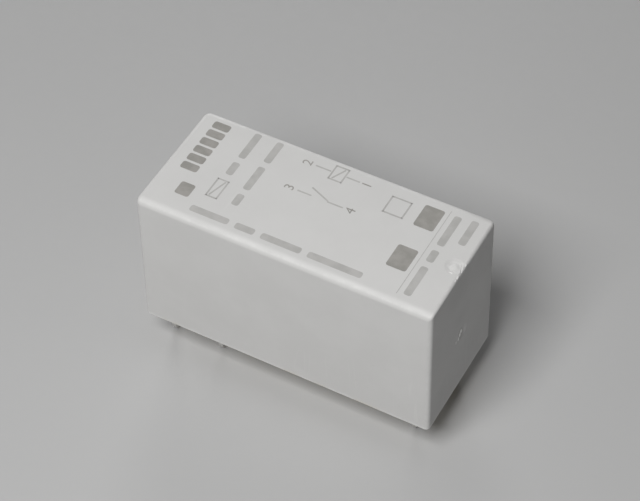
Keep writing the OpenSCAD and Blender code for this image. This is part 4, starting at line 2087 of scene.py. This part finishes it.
@dataclass
class Magnet:
    """The core, the yoke, the armature and the hinge spring between them."""

    axis_z: float = 8.325 * MM
    core_radius: float = 2.0 * MM
    pole_thickness: float = 0.5 * MM
    stake_radius: float = 1.4 * MM
    swage_radius: float = 1.7 * MM
    swage_height: float = 0.25 * MM
    yoke_thickness: float = 1.3 * MM
    edge: float = 0.08 * MM
    hinge: Vector = Vector((10.6076 * MM, 0, 2.1 * MM))
    bend_start: Vector = Vector((-0.5, 0, -0.1)) * MM       # from the hinge
    bend_end: Vector = Vector((1.3, 0, 3.5)) * MM
    spring_rows: int = 14

    def build(self) -> list[Object]:
        """Builds the fixed iron, the armature and its spring.

        Returns:
            The four pieces.
        """
        return [
            self.core(),
            softened("yoke", "housing", Palette.IRON, "iron", self.edge),
            softened("armature", "armature", Palette.IRON, "iron", self.edge),
            self.spring(),
        ]

    def core(self) -> Object:
        """Turns the core with its pole head and riveted end.

        Returns:
            The core.
        """
        low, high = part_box("core")
        seat_x = low.x + self.swage_height + self.yoke_thickness
        head_x = high.x - self.pole_thickness
        pole_radius = high.z - self.axis_z
        profile = [
            (low.x, 0),
            (low.x, self.swage_radius - 2 * self.edge),
            (low.x + self.swage_height, self.swage_radius),
            (low.x + self.swage_height, self.stake_radius),
            (seat_x, self.stake_radius),
            (seat_x, self.core_radius),
            (head_x, self.core_radius),
            (head_x, pole_radius),
            (high.x, pole_radius),
            (high.x, 0),
        ]
        piece = soften(add_turned("core_piece", profile, 0, self.axis_z), self.edge)
        return Seat("housing", Palette.IRON, "iron", ("core",)).put(piece)

    def spring(self) -> Object:
        """Slices the hinge spring into rows, gives it its finish and bakes its place into its mesh.

        Returns:
            The spring.
        """
        piece = bending_strip("hinge_spring", self.spring_rows)
        Seat("armature", Palette.SPRING, "spring", ("hinge_spring",)).dress(piece)
        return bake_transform(piece)


@dataclass
class Contacts:
    """The contact spring with its rivets, and the two silver contacts."""

    shank_radius: float = 0.75 * MM
    tail_radius: float = 1.1 * MM
    tail_height: float = 0.3 * MM
    dome: float = 0.28 * MM
    sheet: float = 0.5 * MM
    blade: float = 0.25 * MM
    rivet_y: float = 1.6 * MM
    rivet_radius: float = 0.6 * MM
    rivet_head: float = 0.3 * MM
    head_share: float = 0.75        # radius of a head's flat, as a share of the head's
    crown_steps: int = 8
    bend_low: float = 5.2 * MM
    bend_high: float = 9.9 * MM
    spring_rows: int = 24
    edge: float = 0.08 * MM

    def build(self) -> list[Object]:
        """Builds the fixed contact, the spring and what is riveted to it."""
        return [self.fixed(), self.rivets(), self.moving(), self.spring()]

    def fixed(self) -> Object:
        """Turns the contact that stands on its terminal.

        Returns:
            The contact.
        """
        low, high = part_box("fixed_contact")
        middle = (low + high) / 2
        back_x = low.x + self.tail_height
        face_x = back_x + self.sheet
        profile = [
            (low.x, 0),
            (low.x, self.tail_radius),
            (back_x, self.tail_radius),
            (back_x, self.shank_radius),
            (face_x, self.shank_radius),
            (face_x, high.z - middle.z),
            (high.x, high.z - middle.z),
            (high.x, 0),
        ]
        piece = soften(add_turned("fixed_contact_piece", profile, 0, middle.z), self.edge)
        return Seat("housing", Palette.SILVER, "silver", ("fixed_contact",)).put(piece)

    def moving(self) -> Object:
        """Turns the domed contact that rides on the spring.

        Returns:
            The contact.
        """
        low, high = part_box("moving_contact")
        middle = (low + high) / 2
        radius = high.z - middle.z
        ball = (radius**2 + self.dome**2) / (2 * self.dome)
        reach = math.asin(radius / ball)
        angles = [reach * step / self.crown_steps for step in range(self.crown_steps + 1)]
        crown = [(low.x + ball * (1 - math.cos(a)), ball * math.sin(a)) for a in angles]
        back_x = high.x - self.tail_height
        head_x = back_x - self.blade
        profile = [
            *crown,
            (head_x, radius),
            (head_x, self.shank_radius),
            (back_x, self.shank_radius),
            (back_x, self.tail_radius),
            (high.x, self.tail_radius),
            (high.x, 0),
        ]
        piece = soften(add_turned("moving_contact_piece", profile, 0, middle.z), self.edge)
        return Seat("contact_blade", Palette.SILVER, "silver", ("moving_contact",)).put(piece)

    def rivets(self) -> Object:
        """Turns one rivet and copies it to the other side.

        Returns:
            The two rivets as one piece.
        """
        low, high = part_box("spring_rivets")
        middle = (low + high) / 2
        head_radius = high.z - middle.z
        profile = [
            (low.x, 0),
            (low.x, self.head_share * head_radius),
            (low.x + self.rivet_head, head_radius),
            (low.x + self.rivet_head, self.rivet_radius),
            (high.x - self.rivet_head, self.rivet_radius),
            (high.x - self.rivet_head, head_radius),
            (high.x, self.head_share * head_radius),
            (high.x, 0),
        ]
        first = soften(add_turned("rivet", profile, self.rivet_y, middle.z), self.edge / 2)
        second = copy_piece(first, Y_AXIS * -2 * self.rivet_y)
        piece = join("spring_rivets_piece", [first, second])
        return Seat("housing", Palette.SPRING, "spring", ("spring_rivets",)).put(piece)

    def spring(self) -> Object:
        """Slices the contact spring into rows, gives it its finish and bakes its place into its mesh.

        Returns:
            The spring.
        """
        piece = bending_strip("contact_spring", self.spring_rows)
        Seat("contact_blade", Palette.SPRING, "spring", ("contact_spring",)).dress(piece)
        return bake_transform(piece)


@dataclass
class Actuator:
    """The card that passes the armature's stroke on to the contact spring."""

    edge: float = 0.07 * MM

    def build(self) -> list[Object]:
        """Builds the card."""
        return [softened("actuator_card", "card", Palette.CARD, "card", self.edge)]


@dataclass
class Studio:
    """The floor, the lights and the camera."""

    azimuth: float = math.radians(29.54)
    elevation: float = math.radians(48.652)
    roll: float = math.radians(-1.259)
    distance: float = 189.7 * MM
    lens: float = 120.05
    near_clip: float = 10 * MM
    aim: Vector = Vector((0, 0, 7.85 * MM))
    shift_right: float = 0.323 * MM
    shift_up: float = 1.575 * MM
    floor_size: float = 3.0
    key_place: Vector = Vector((-0.002, -0.1545, 0.2413))
    key_size: float = 0.126
    key_power: float = 0.77
    fill_place: Vector = Vector((-0.16, 0.3, 0.07))
    fill_size: float = 0.14
    fill_power: float = 0.55
    surround: Colour = (0.042, 0.042, 0.043)

    def build(self) -> None:
        """Sets up the studio."""
        self.floor()
        self.light("key_light", self.key_place, self.key_size, self.key_power)
        self.light("fill_light", self.fill_place, self.fill_size, self.fill_power)
        self.world()
        self.camera()
        bpy.context.scene.view_settings.view_transform = "Standard"

    def floor(self) -> None:
        """Lays a plain pale floor under the pins' tips."""
        deselect_all()
        bpy.ops.mesh.primitive_plane_add(size=self.floor_size, location=(0, 0, CAD_LOW.z))
        floor = settle("studio_floor")
        floor.data.materials.append(Palette.FLOOR.material())

    def light(self, name: str, place: Vector, size: float, power: float) -> None:
        """Hangs a square lamp that faces the relay.

        Args:
            name: the lamp's name.
            place: where it hangs.
            size: its side.
            power: its power in watts.
        """
        deselect_all()
        turn = (self.aim - place).to_track_quat("-Z", "Y").to_euler()
        bpy.ops.object.light_add(type="AREA", location=place, rotation=turn)
        lamp = bpy.context.object
        lamp.name = name
        lamp.data.shape = "SQUARE"
        lamp.data.size = size
        lamp.data.energy = power

    def world(self) -> None:
        """Gives the studio its even, dim surroundings."""
        world = bpy.data.worlds.new("studio")
        world.use_nodes = True
        world.node_tree.nodes["Background"].inputs["Color"].default_value = (*self.surround, 1)
        bpy.context.scene.world = world

    def camera(self) -> None:
        """Sets the camera to the photograph's angle and framing."""
        back = Vector(
            (
                math.sin(self.azimuth) * math.cos(self.elevation),
                -math.cos(self.azimuth) * math.cos(self.elevation),
                math.sin(self.elevation),
            )
        )
        level = Vector((math.cos(self.azimuth), math.sin(self.azimuth), 0))
        upright = back.cross(level)
        right = level * math.cos(self.roll) + upright * math.sin(self.roll)
        up = back.cross(right)
        target = self.aim + right * self.shift_right + up * self.shift_up
        deselect_all()
        bpy.ops.object.camera_add(
            location=target + back * self.distance,
            rotation=Matrix((right, up, back)).transposed().to_euler(),
        )
        camera = bpy.context.object
        camera.name = "photo_camera"
        camera.data.lens = self.lens
        camera.data.clip_start = self.near_clip
        bpy.context.scene.camera = camera


def main() -> None:
    """Builds the studio and every sub-assembly, and reports each piece."""
    logging.basicConfig(level=logging.INFO, format="%(name)s: %(message)s")
    Studio().build()
    for assembly in (
        Cover(),
        TopPrint(),
        SealedBase(),
        Terminals(),
        Coil(),
        Magnet(),
        Actuator(),
        Contacts(),
    ):
        for piece in assembly.build():
            LOG.info("%s: %s, %d faces", type(assembly).__name__, piece.name, len(piece.data.polygons))
    deselect_all()


if __name__ == "__main__":
    main()
